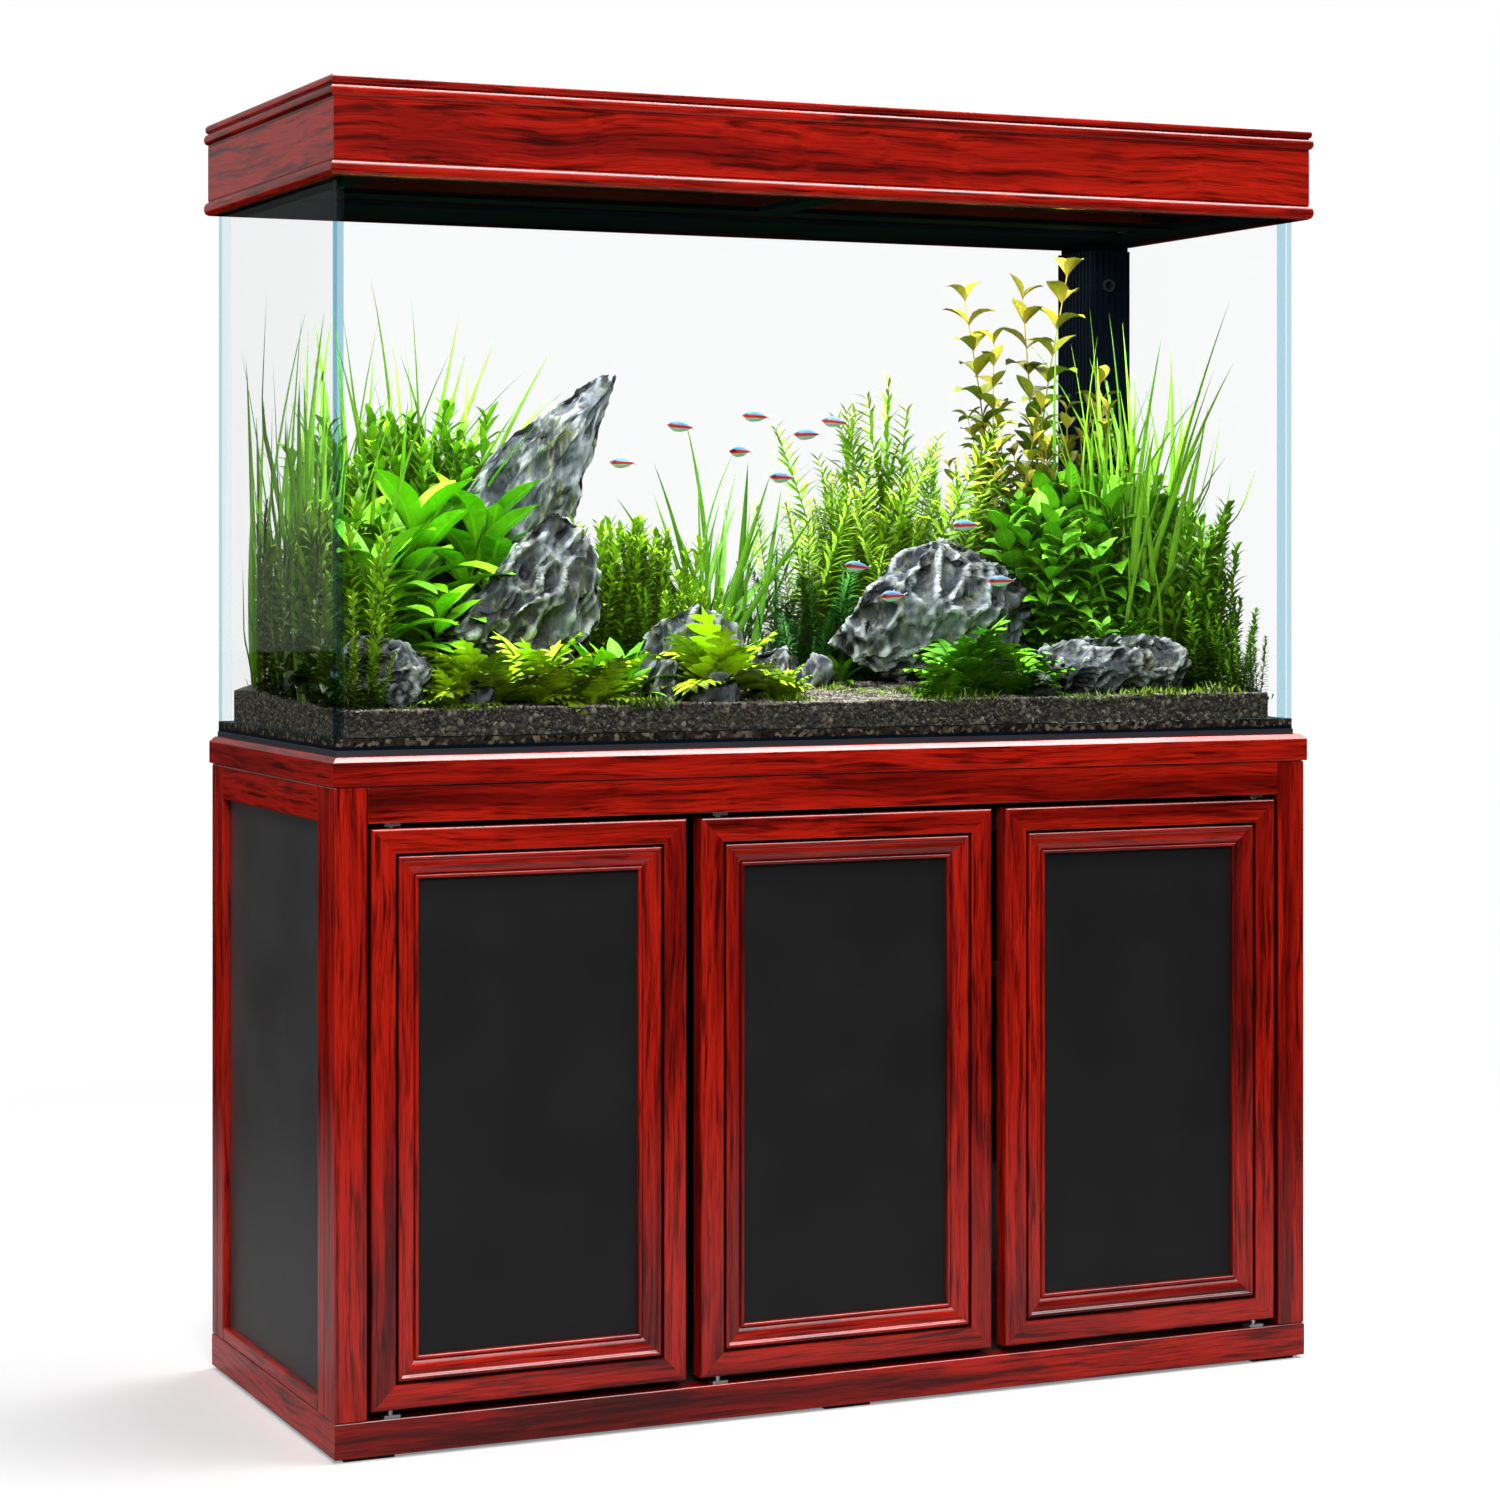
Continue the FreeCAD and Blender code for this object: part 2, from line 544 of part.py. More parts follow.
# each: (x low, x high), (y low, y high), bed, top, taper, lean
ROCKS = [
    ((-372, -262), (6, 56), MIDDLE_BED, 1157, 0.28, 62),
    ((-407, -211), (-94, 2), MIDDLE_BED, 987, 0.2, 10),
    ((-554, -451), (-172, -104), FRONT_BED, 861, 0.22, 0),
    ((-180, -66), (-94, -40), MIDDLE_BED, 900, 0.2, 0),
    ((97, 335), (-94, 12), MIDDLE_BED, 973, 0.26, -10),
    ((296, 517), (-178, -104), FRONT_BED, 862, 0.2, 0),
    ((-442, -404), (-204, -178), FRONT_BED, 814, 0.2, 0),
    ((-213, -166), (-160, -120), FRONT_BED, 836, 0.2, 0),
    ((-160, -100), (-208, -176), FRONT_BED, 816, 0.2, 0),
    ((10, 60), (-94, -60), MIDDLE_BED, 838, 0.2, 0),
    ((268, 290), (-200, -182), FRONT_BED, 812, 0.2, 0),
]
TALL_PLANTS = [
    ((-570, -480), (90, 210), REAR_BED, 1287, 0.3, 6),
    ((-440, -330), (90, 210), REAR_BED, 1240, 0.2, 30),
    ((-110, 10), (70, 130), REAR_BED, 1124, 0.25, 0),
    ((60, 330), (70, 150), REAR_BED, 1150, 0.25, 10),
    ((370, 500), (70, 200), REAR_BED, 1330, 0.3, 0),
    ((478, 566), (-40, 54), MIDDLE_BED, 1290, 0.25, -4),
    ((498, 566), (-98, -46), MIDDLE_BED, 1030, 0.2, 0),
]
BUSHY_PLANTS = [
    ((-500, -412), (-60, 54), MIDDLE_BED, 1050, 0.1, 0),
    ((-574, -508), (-98, 54), MIDDLE_BED, 945, 0.15, 0),
    ((-197, -100), (6, 56), MIDDLE_BED, 1015, 0.15, 0),
    ((345, 470), (-60, 54), MIDDLE_BED, 1080, 0.15, 0),
    ((-40, 50), (0, 54), MIDDLE_BED, 920, 0.15, 0),
]
LOW_PLANTS = [
    ((-440, -275), (-170, -106), FRONT_BED, 874, 0.15, 0),
    ((-262, -220), (-146, -106), FRONT_BED, 876, 0.15, 0),
    ((-160, -72), (-164, -106), FRONT_BED, 896, 0.15, 0),
    ((140, 285), (-176, -106), FRONT_BED, 876, 0.15, 0),
    ((-54, 0), (-160, -120), FRONT_BED, 834, 0.15, 0),
    ((-270, -228), (-204, -176), FRONT_BED, 822, 0.15, 0),
    ((210, 258), (-206, -184), FRONT_BED, 816, 0.15, 0),
]
# swimming fish: middle of each body
FISH = [(-145, -95, 1102), (-51, -95, 1115), (12, -100, 1095), (-75, -105, 1074), (-18, -95, 1045),
        (-186, -20, 1062), (66, -60, 1112), (196, -145, 990), (240, -150, 925), (52, -150, 942), (98, -150, 908)]
FISH_LENGTH, FISH_HEIGHT, FISH_WIDTH = 34, 9, 5


def make_aquascape():
    for name, plan in (("rocks", ROCKS), ("tall_plants", TALL_PLANTS), ("bushy_plants", BUSHY_PLANTS),
                       ("low_plants", LOW_PLANTS)):
        node(name, *[mound(*entry) for entry in plan])
    school = []
    for x, y, z in FISH:
        fish = doc.addObject("Part::Ellipsoid", "fish")
        fish.Radius1, fish.Radius2, fish.Radius3 = FISH_HEIGHT / 2, FISH_LENGTH / 2, FISH_WIDTH / 2
        school.append(place(fish, x, y, z))
    node("fish_school", *school)


# ---------------------------------------------------------------- pipework and sump
def pipe_run(points, radius):
    """A pipe of straight runs along the axes, with a round elbow at each turn, hollow all through."""
    outer, inner = [], []
    bore = "%s - pipe_wall" % radius
    for (start, towards, length) in points:
        for group, size, extra in ((outer, radius, 0), (inner, bore, 0)):
            group.append(rod(*start, size, length, towards))
    for (start, _, _) in points[1:]:
        outer.append(ball(*start, "%s*1.35" % radius))
        inner.append(ball(*start, bore))
    return cut(fused(*outer), *inner)


def bulkhead(y, pipe_radius):
    """Flange above the glass, shank through it and nut below, bored for the pipe."""
    solid = fused(rod("pipe_x", y, GLASS_FLOOR, "flange_radius", "6"),
                  rod("pipe_x", y, "%s - 16" % MAT_TOP, "shank_radius", "glass_thick + 20"),
                  rod("pipe_x", y, "%s - 16" % MAT_TOP, "nut_radius", "16"))
    return cut(solid, rod("pipe_x", y, "%s - 20" % MAT_TOP, pipe_radius, "60"))


def valve(y, z, pipe_radius, towards):
    """Valve body round a riser, with its stem."""
    stem = {"-y": ("pipe_x", "%s - valve_radius + 3" % y, z), "-x": ("pipe_x - valve_radius + 3", y, z)}[towards]
    solid = fused(rod("pipe_x", y, "%s - valve_height/2" % z, "valve_radius", "valve_height"),
                  rod(*stem, "stem_radius", "21", towards))
    return cut(solid, rod("pipe_x", y, "%s - valve_height/2 - 1" % z, pipe_radius, "valve_height + 2"))


def lever(y, z, towards):
    """Valve lever that turns on the stem and stands upright when the valve is open."""
    reach = "valve_radius + 6"
    hub_bore = "stem_radius + 0.05"
    if towards == "-y":
        start = ("pipe_x", "%s - (%s)" % (y, reach), z)
        arm = board(("pipe_x - 6", "pipe_x + 6"), ("%s - (%s) - 8" % (y, reach), "%s - (%s) - 3" % (y, reach)),
                    (z, "%s + lever_length" % z))
    else:
        start = ("pipe_x - (%s)" % reach, y, z)
        arm = board(("pipe_x - (%s) - 8" % reach, "pipe_x - (%s) - 3" % reach), ("%s - 6" % y, "%s + 6" % y),
                    (z, "%s + lever_length" % z))
    return cut(fused(rod(*start, "9", "11", towards), arm), rod(*start, hub_bore, "12", towards))


def make_pipework():
    drain = [(("pipe_x", "drain_y", "drain_level"), "+z", "drain_top - drain_level"),
             (("pipe_x", "drain_y", "drain_level"), "-x", "pipe_x - drain_mouth_x"),
             (("drain_mouth_x", "drain_y", "drain_level"), "-z", "drain_level - drain_mouth")]
    node("drain_pipe", pipe_run(drain, "drain_radius"))
    rise = [(("pipe_x", "pump_y", "pump_top"), "+z", "return_level - pump_top"),
            (("pipe_x", "pump_y", "return_level"), "+y", "return_y - pump_y"),
            (("pipe_x", "return_y", "return_level"), "+z", "return_outlet - return_level"),
            (("pipe_x", "return_y", "return_outlet"), "-y", "return_y - overflow_front + 6")]
    node("return_pipe", pipe_run(rise, "return_radius"))
    node("bulkheads", bulkhead("drain_y", "drain_radius"), bulkhead("return_y", "return_radius"))
    node("valve_bodies", valve("drain_y", "drain_valve", "drain_radius", "-y"),
         valve("return_y", "return_valve", "return_radius", "-x"))
    node("drain_valve_handle", lever("drain_y", "drain_valve", "-y"))
    node("return_valve_handle", lever("return_y", "return_valve", "-x"))


def make_sump():
    x = ("sump_left", "sump_right")
    y = ("sump_front", "sump_rear")
    inner_x = ("sump_left + sump_glass", "sump_right - sump_glass")
    inner_y = ("sump_front + sump_glass", "sump_rear - sump_glass")
    wall_z = ("plinth_top + sump_glass", "sump_top")
    baffles = [("sump_left + 110", wall_z[0], "sump_top - 62"), ("sump_left + 226", "plinth_top + 36", "sump_top - 10"),
               ("sump_left + 250", wall_z[0], "sump_top - 82")]
    ledges = [board((inner_x[0], "sump_left + 110"), ledge_y, ("tray_bottom - 6", "tray_bottom"))
              for ledge_y in ((inner_y[0], "%s + 10" % inner_y[0]), ("%s - 10" % inner_y[1], inner_y[1]))]
    node("sump_panes", board(x, y, ("plinth_top", "plinth_top + sump_glass")),
         board(x, (y[0], inner_y[0]), wall_z), board(x, (inner_y[1], y[1]), wall_z),
         board((x[0], inner_x[0]), inner_y, wall_z), board((inner_x[1], x[1]), inner_y, wall_z),
         *[board((at, "%s + sump_glass" % at), inner_y, (low, high)) for at, low, high in baffles], *ledges)
    tray_x = ("%s + 2" % inner_x[0], "sump_left + 108")
    tray_y = ("%s + 3" % inner_y[0], "%s - 3" % inner_y[1])
    shell = board(tray_x, tray_y, ("tray_bottom", "tray_bottom + tray_height"))
    hollow_x = ("%s + tray_wall" % tray_x[0], "%s - tray_wall" % tray_x[1])
    hollow_y = ("%s + tray_wall" % tray_y[0], "%s - tray_wall" % tray_y[1])
    hollow = board(hollow_x, hollow_y, ("tray_bottom + tray_wall", "tray_bottom + tray_height + 1"))
    slots = [board(hollow_x, ("%s + 20 + %d*40" % (hollow_y[0], k), "%s + 30 + %d*40" % (hollow_y[0], k)),
                   ("tray_bottom - 1", "tray_bottom + tray_wall + 1")) for k in range(8)]
    node("filter_tray", cut(shell, hollow, *slots))
    node("filter_wool", board(hollow_x, hollow_y, ("tray_bottom + tray_wall", "tray_bottom + tray_wall + 26")))
    pump = fused(board(("pipe_x - 60", "pipe_x + 8"), ("pump_y - 40", "pump_y + 30"),
                       ("plinth_top + sump_glass", "plinth_top + 62")),
                 rod("pipe_x - 26", "pump_y - 40", "plinth_top + 36", "22", "50", "-y"),
                 rod("pipe_x", "pump_y", "plinth_top + 60", "return_radius + 3", "pump_top - plinth_top - 60"))
    node("return_pump", pump)


# ---------------------------------------------------------------- hood
def make_hood():
    width, depth = "(2*hood_half_width)", "(2*hood_half_depth)"
    board_section = [("0", "0"), ("hood_board", "0"), ("hood_board", "hood_board_top - hood_board_bottom"),
                     ("0", "hood_board_top - hood_board_bottom")]
    node("hood_boards", *ring(width, depth, board_section, "hood_board", ("0", "0", "hood_board_bottom")))
    crown_height = "(crown_top - hood_board_top)"
    crown_section = [("bead_out", "0"), ("crown_width", "0"), ("crown_width", "ledge_height"),
                     ("crown_rim", "ledge_height"), ("crown_rim", crown_height), ("1.5", crown_height),
                     ("0", "%s - 1.5" % crown_height), ("0", "%s - 8" % crown_height), ("2", "%s - 10" % crown_height),
                     ("0.5", "%s - 13" % crown_height), ("0.5", "%s - 18" % crown_height), ("bead_out", "3")]
    outer_width, outer_depth = "(%s + 2*bead_out)" % width, "(%s + 2*bead_out)" % depth
    node("hood_crown", *ring(outer_width, outer_depth, crown_section, "crown_width", ("0", "0", "hood_board_top")))
    bead_height = "(hood_board_bottom - bead_bottom)"
    bead_section = [("2", "0"), ("bead_width", "0"), ("bead_width", bead_height), ("bead_out", bead_height),
                    ("bead_out", "%s - 1.5" % bead_height), ("1", "%s - 3" % bead_height), ("0", "%s - 6" % bead_height),
                    ("0", "4"), ("0.8", "1.5")]
    node("hood_base_moulding", *ring(outer_width, outer_depth, bead_section, "bead_width", ("0", "0", "bead_bottom")))
    ledge = "(hood_board_top + ledge_height)"
    lid_z = (ledge, "%s + lid_thick" % ledge)
    opening_x = "(hood_half_width + bead_out - crown_rim)"
    opening_y = "(hood_half_depth + bead_out - crown_rim)"
    node("hood_rear_top", board(("-%s" % opening_x, opening_x), ("lid_hinge_y + 1", opening_y), lid_z))
    under_crown_y = "(hood_half_depth + bead_out - crown_width)"
    node("hood_cross_rail", board(("-20", "20"), ("-" + under_crown_y, under_crown_y),
                                  ("%s - 16" % ledge, ledge)))
    make_ceiling()
    make_lids(opening_x, opening_y, lid_z)


def make_ceiling():
    z = ("tank_top", "tank_top + ceiling_thick")
    full_x = ("-(hood_half_width + bead_out - bead_width)", "hood_half_width + bead_out - bead_width")
    edge_y = "(hood_half_depth + bead_out - bead_width)"
    slot_x = "540"
    hatch_y = ("-185", "-35")
    slot_y = ("lamp_front - 5", "lamp_rear + 5")
    end_x = (slot_x, full_x[1])
    node("hood_ceiling", board(full_x, ("-" + edge_y, hatch_y[0]), z), board(full_x, (hatch_y[1], slot_y[0]), z),
         board(full_x, (slot_y[1], edge_y), z), *mirrored_boards(end_x, hatch_y, z),
         *mirrored_boards(end_x, slot_y, z), board(("-20", "20"), hatch_y, z))
    lamp_y = ("lamp_front", "lamp_rear")
    top = z[1]
    brackets = mirrored_boards(("lamp_half_length - 1", "lamp_half_length + 30"), lamp_y, (top, "%s + 8" % top))
    housing = board(("-lamp_half_length", "lamp_half_length"), lamp_y, ("%s + 3" % top, "%s + 21" % top))
    node("lamp_housing", fused(housing, *brackets))
    node("lamp_panel", board(("-(lamp_half_length - 5)", "lamp_half_length - 5"), ("lamp_front + 5", "lamp_rear - 5"),
                             ("%s + 1" % top, "%s + 3" % top)))


HINGE_SPACING = 200
LEAF_HALF = 20
KNUCKLE_HALF = 7.8
LEAF_THICK = 1.2


def make_lids(opening_x, opening_y, lid_z):
    """Two feeding lids on butt hinges, and the fixed halves of the hinges."""
    top = lid_z[1]
    axis_z = "(%s + knuckle_radius + 0.2)" % top
    leaf_z = (top, "%s + %s" % (top, LEAF_THICK))
    fixed = []
    for name, side in (("left", -1), ("right", 1)):
        inner, outer = "%d*lid_gap" % side, "%d*(%s - lid_gap)" % (side, opening_x)
        lid_x = (outer, inner) if side < 0 else (inner, outer)
        node(name + "_lid", board(lid_x, ("-(%s - lid_gap)" % opening_y, "lid_hinge_y - 1"), lid_z))
        moving = []
        for k in (-1, 1):
            centre = side * 287 + k * HINGE_SPACING
            leaf_x = (centre - LEAF_HALF, centre + LEAF_HALF)
            near = "knuckle_radius + 0.2"
            leaf = board(leaf_x, ("lid_hinge_y - 24", "lid_hinge_y - (%s)" % near), leaf_z)
            tab = board((centre - KNUCKLE_HALF, centre + KNUCKLE_HALF), ("lid_hinge_y - 4", "lid_hinge_y"), leaf_z)
            knuckle = rod(centre - KNUCKLE_HALF, "lid_hinge_y", axis_z, "knuckle_radius", 2 * KNUCKLE_HALF, "+x")
            bore = rod(centre - LEAF_HALF, "lid_hinge_y", axis_z, "lid_pin_radius + 0.05", 2 * LEAF_HALF, "+x")
            moving.append(cut(fused(leaf, tab, knuckle), bore))
            pieces = [board(leaf_x, ("lid_hinge_y + %s" % near, "lid_hinge_y + 24"), leaf_z),
                      rod(centre - LEAF_HALF, "lid_hinge_y", axis_z, "lid_pin_radius", 2 * LEAF_HALF, "+x")]
            for end in (centre - LEAF_HALF, centre + KNUCKLE_HALF + 0.2):
                width = LEAF_HALF - KNUCKLE_HALF - 0.2
                pieces.append(board((end, end + width), ("lid_hinge_y", "lid_hinge_y + 4"), leaf_z))
                pieces.append(rod(end, "lid_hinge_y", axis_z, "knuckle_radius", width, "+x"))
            fixed.append(fused(*pieces))
        knob = rod(side * 287, "-185", top, "10", "%s - (%s) - 1" % ("crown_top", top))
        node(name + "_lid_fittings", *moving, knob)
    node("lid_hinges", *fixed)


make_plinth()
make_carcass()
make_doors()
make_tank()
make_overflow()
make_soil()
make_aquascape()
make_pipework()
make_sump()
make_hood()
doc.recompute()

for item in doc.Objects:
    if {"Invalid", "Error"} & set(item.State):
        raise RuntimeError("%s (%s) did not compute: %s" % (item.Label, item.Name, item.State))

os.makedirs("parts", exist_ok=True)
for item in nodes:
    shape = item.Shape
    if shape.isNull() or not shape.isValid() or not shape.Solids:
        raise RuntimeError(item.Label + " has no valid solid")
    shape.exportStep("parts/%s.step" % item.Label)
print("%d sub-parts, %d solids" % (len(nodes), sum(len(item.Shape.Solids) for item in nodes)))
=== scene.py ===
"""Looks of an aquarium on a red lacquered stand, built round its CAD frame."""

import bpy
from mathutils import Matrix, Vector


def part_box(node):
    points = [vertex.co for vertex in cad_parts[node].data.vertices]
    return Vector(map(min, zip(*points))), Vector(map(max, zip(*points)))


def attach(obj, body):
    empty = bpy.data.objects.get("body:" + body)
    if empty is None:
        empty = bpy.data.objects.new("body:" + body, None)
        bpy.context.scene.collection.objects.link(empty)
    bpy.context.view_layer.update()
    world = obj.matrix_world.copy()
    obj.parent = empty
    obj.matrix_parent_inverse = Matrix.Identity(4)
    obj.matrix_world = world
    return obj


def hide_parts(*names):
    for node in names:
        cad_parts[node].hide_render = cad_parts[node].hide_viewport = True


bl_info = {
    "name": "Aquarium on Stand",
    "version": (1, 0, 0),
    "blender": (4, 5, 0),
    "location": "3D View > Sidebar > Aquarium",
    "description": "Cabinet, glass tank, planted layout and hood, each made by its own operator",
    "category": "Object",
}

import math
import random

import bpy
from mathutils import Matrix, Vector, noise

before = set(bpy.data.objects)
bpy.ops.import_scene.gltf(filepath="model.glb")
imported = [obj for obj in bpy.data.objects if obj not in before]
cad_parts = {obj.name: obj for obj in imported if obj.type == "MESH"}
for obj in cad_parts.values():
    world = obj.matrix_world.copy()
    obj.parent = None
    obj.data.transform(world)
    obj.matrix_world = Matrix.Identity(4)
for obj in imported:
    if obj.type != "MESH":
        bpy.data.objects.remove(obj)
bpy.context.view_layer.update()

DOORS = ("left", "middle", "right")
GLASS_THICK = 0.012
FULL_TURN = 6.2832
QUARTER_TURN = 1.5708


# ------------------------------------------------------------------ settings
class WoodLook(bpy.types.PropertyGroup):
    """Colours and finish of the lacquered wood."""
    bright: bpy.props.FloatVectorProperty(
        name="Bright grain", description="Lightest red between the dark streaks",
        subtype="COLOR", size=4, min=0, max=1, default=(0.66, 0.017, 0.006, 1))
    middle: bpy.props.FloatVectorProperty(
        name="Middle grain", description="Main red of the boards",
        subtype="COLOR", size=4, min=0, max=1, default=(0.30, 0.0065, 0.0030, 1))
    dark: bpy.props.FloatVectorProperty(
        name="Dark grain", description="Dark streaks",
        subtype="COLOR", size=4, min=0, max=1, default=(0.040, 0.0012, 0.0011, 1))
    roughness: bpy.props.FloatProperty(
        name="Roughness", description="Roughness of the lacquer",
        subtype="FACTOR", min=0, max=1, default=0.30)


class EdgeSizes(bpy.types.PropertyGroup):
    """How far the wooden edges are rounded."""
    board: bpy.props.FloatProperty(
        name="Board edge", description="Rounding of posts and rails", unit="LENGTH", default=0.0022)
    thin: bpy.props.FloatProperty(
        name="Thin edge", description="Rounding of lids and panels", unit="LENGTH", default=0.0010)
    glass: bpy.props.FloatProperty(
        name="Glass edge", description="Ground edge of the panes", unit="LENGTH", default=0.0008)


class StageSettings(bpy.types.PropertyGroup):
    """Studio light, floor and camera."""
    key_power: bpy.props.FloatProperty(
        name="Key light", description="Soft light high on the left in front", unit="POWER", default=150)
    top_power: bpy.props.FloatProperty(
        name="Overhead light", description="Large soft light above", unit="POWER", default=150)
    side_power: bpy.props.FloatProperty(
        name="Side light", description="Soft light on the left", unit="POWER", default=30)
    tank_power: bpy.props.FloatProperty(
        name="Tank light", description="Light that falls from the hood on the plants",
        unit="POWER", default=14)
    lens: bpy.props.FloatProperty(
        name="Lens", description="Focal length in millimetres on a 36 mm sensor", default=83.73)


# ------------------------------------------------------------------ modelling helpers
def deselect_all():
    bpy.ops.object.select_all(action="DESELECT")


def select_only(*pieces):
    deselect_all()
    for piece in pieces:
        piece.select_set(True)
    bpy.context.view_layer.objects.active = pieces[0]


def settle(*pieces):
    """Puts each piece's place into its mesh, so that its object sits at the origin."""
    select_only(*pieces)
    bpy.ops.object.transform_apply(location=True, rotation=True, scale=True)


def modify(piece, kind, **settings):
    """Adds a modifier and applies it."""
    select_only(piece)
    bpy.ops.object.modifier_add(type=kind)
    modifier = piece.modifiers[-1]
    for name, value in settings.items():
        setattr(modifier, name, value)
    bpy.ops.object.modifier_apply(modifier=modifier.name)


def write(piece, name, values):
    """Stores one number per point under a name that the materials read."""
    attribute = piece.data.attributes.get(name)
    if attribute is None:
        attribute = piece.data.attributes.new(name, "FLOAT", "POINT")
    if not hasattr(values, "__len__"):
        values = [values] * len(piece.data.vertices)
    attribute.data.foreach_set("value", values)


def copy_of(piece, matrix=None):
    """A copy with its own mesh, placed by a matrix."""
    twin = piece.copy()
    twin.data = piece.data.copy()
    bpy.context.scene.collection.objects.link(twin)
    if matrix is not None:
        twin.matrix_world = matrix
    return twin


def join(name, pieces):
    settle(*pieces)
    if len(pieces) > 1:
        bpy.ops.object.join()
    made = bpy.context.view_layer.objects.active
    made.name = name
    made.data.name = name
    return made


def discard(*pieces):
    for piece in pieces:
        bpy.data.meshes.remove(piece.data)


def shade(piece, angle=32):
    """Smooth shading between faces that meet at less than an angle, with the flat faces kept flat."""
    select_only(piece)
    bpy.ops.object.shade_smooth_by_angle(angle=math.radians(angle))
    if angle <= 32:
        modify(piece, "WEIGHTED_NORMAL", keep_sharp=True)


def fit(piece, body, slot, *nodes):
    """Rides the piece on its body and hides the CAD nodes that it stands for; slot, the name of its finish,
    is not used.
    """
    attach(piece, body)
    if nodes:
        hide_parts(*nodes)


def board(x, y, z, material, edge=None, segments=2):
    """A board between two corners, with its edges rounded and its own place in the grain."""
    low = Vector((x[0], y[0], z[0]))
    high = Vector((x[1], y[1], z[1]))
    bpy.ops.mesh.primitive_cube_add(size=1, location=(low + high) / 2)
    piece = bpy.context.object
    piece.scale = high - low
    settle(piece)
    width = bpy.context.scene.edge_sizes.board if edge is None else edge
    modify(piece, "BEVEL", width=width, segments=segments, limit_method="ANGLE")
    piece.data.materials.append(material)
    write(piece, "board", noise.cell(Vector(low) * 977 + Vector((0.5, 0.5, 0.5))))
    return piece


def mirrored(x, y, z, material, **settings):
    return [board(x, y, z, material, **settings), board((-x[1], -x[0]), y, z, material, **settings)]


def arc(u, v, radius, start, end, steps):
    """Points on a round stretch of a section, angles in degrees."""
    turns = [math.radians(start + (end - start) * k / steps) for k in range(steps + 1)]
    return [(u + radius * math.cos(t), v + radius * math.sin(t)) for t in turns]


def bulge(u, v, reach, half_height, steps=8):
    """Points down a half-round bead that stands out to the left of u."""
    turns = [math.pi * k / steps for k in range(steps + 1)]
    return [(u - reach * math.sin(t), v + half_height * math.cos(t)) for t in turns]


def member(section, length):
    """A member along X from a section in millimetres, mitred at both ends; u runs inwards, v up."""
    bpy.ops.mesh.primitive_circle_add(vertices=len(section), fill_type="NGON")
    piece = bpy.context.object
    for point, (u, v) in zip(piece.data.vertices, section):
        point.co = (-length / 2, u / 1000, v / 1000)
    bpy.ops.object.mode_set(mode="EDIT")
    bpy.ops.mesh.select_all(action="SELECT")
    bpy.ops.mesh.extrude_region_move(TRANSFORM_OT_translate={"value": (length, 0, 0)})
    for end in (-1, 1):
        bpy.ops.mesh.select_all(action="SELECT")
        bpy.ops.mesh.bisect(plane_co=(end * length / 2, 0, 0), plane_no=(end, 1, 0),
                            use_fill=True, clear_outer=True)
    bpy.ops.mesh.select_all(action="SELECT")
    bpy.ops.mesh.normals_make_consistent(inside=False)
    bpy.ops.object.mode_set(mode="OBJECT")
    return piece


def axes(x, y, z, place):
    """The matrix that turns the axes to these directions and moves the origin to a place."""
    turn = Matrix((x, y, z)).transposed().to_4x4()
    return Matrix.Translation(place) @ turn


def mitred_ring(name, section, low, high, materials, upright=False, seed=0):
    """Four mitred members round a box: across the front and back, or upright round a door."""
    east, north, up = Vector((1, 0, 0)), Vector((0, 1, 0)), Vector((0, 0, 1))
    centre = (low + high) / 2
    if upright:
        spread, out, back = up, -north, high.y
        sides = [(east, spread, Vector((centre.x, back, low.z))),
                 (-east, -spread, Vector((centre.x, back, high.z))),
                 (-spread, east, Vector((low.x, back, centre.z))),
                 (spread, -east, Vector((high.x, back, centre.z)))]
        height = high.z - low.z
    else:
        spread, out = north, up
        sides = [(east, spread, Vector((centre.x, low.y, low.z))),
                 (-east, -spread, Vector((centre.x, high.y, low.z))),
                 (-spread, east, Vector((low.x, centre.y, low.z))),
                 (spread, -east, Vector((high.x, centre.y, low.z)))]
        height = high.y - low.y
    across = member(section, high.x - low.x)
    across.data.materials.append(materials[0])
    along = member(section, height)
    along.data.materials.append(materials[1])
    members = []
    for k, (run, inwards, place) in enumerate(sides):
        part = copy_of(across if k < 2 else along, axes(run, inwards, out, place))
        write(part, "board", 0.17 + 0.61 * k + seed)
        members.append(part)
    discard(across, along)
    ring = join(name, members)
    shade(ring)
    return ring


# ------------------------------------------------------------------ material helpers
def node(tree, kind, sockets=None, **settings):
    """Adds a shader node; a socket's value is a number, a colour or another node's output."""
    made = tree.nodes.new(kind)
    for name, value in settings.items():
        setattr(made, name, value)
    for name, value in (sockets or {}).items():
        if isinstance(value, bpy.types.NodeSocket):
            tree.links.new(value, made.inputs[name])
        else:
            made.inputs[name].default_value = value
    return made


def blank(name):
    """A material with nothing but its output."""
    material = bpy.data.materials.new(name)
    material.use_nodes = True
    material.node_tree.nodes.clear()
    return material, material.node_tree


def finish_with(tree, shader):
    output = node(tree, "ShaderNodeOutputMaterial")
    tree.links.new(shader.outputs[0], output.inputs["Surface"])


def coordinates(tree, scale=(1, 1, 1)):
    place = node(tree, "ShaderNodeTexCoord").outputs["Object"]
    return node(tree, "ShaderNodeMapping", {"Vector": place, "Scale": scale}).outputs["Vector"]


def grain_noise(tree, vector, scale, detail=2, lot=None, roughness=0.5, distortion=0):
    sockets = {"Vector": vector, "Scale": scale, "Detail": detail, "Roughness": roughness,
               "Distortion": distortion}
    if lot is not None:
        sockets["W"] = lot
    return node(tree, "ShaderNodeTexNoise", sockets, noise_dimensions="3D" if lot is None else "4D")


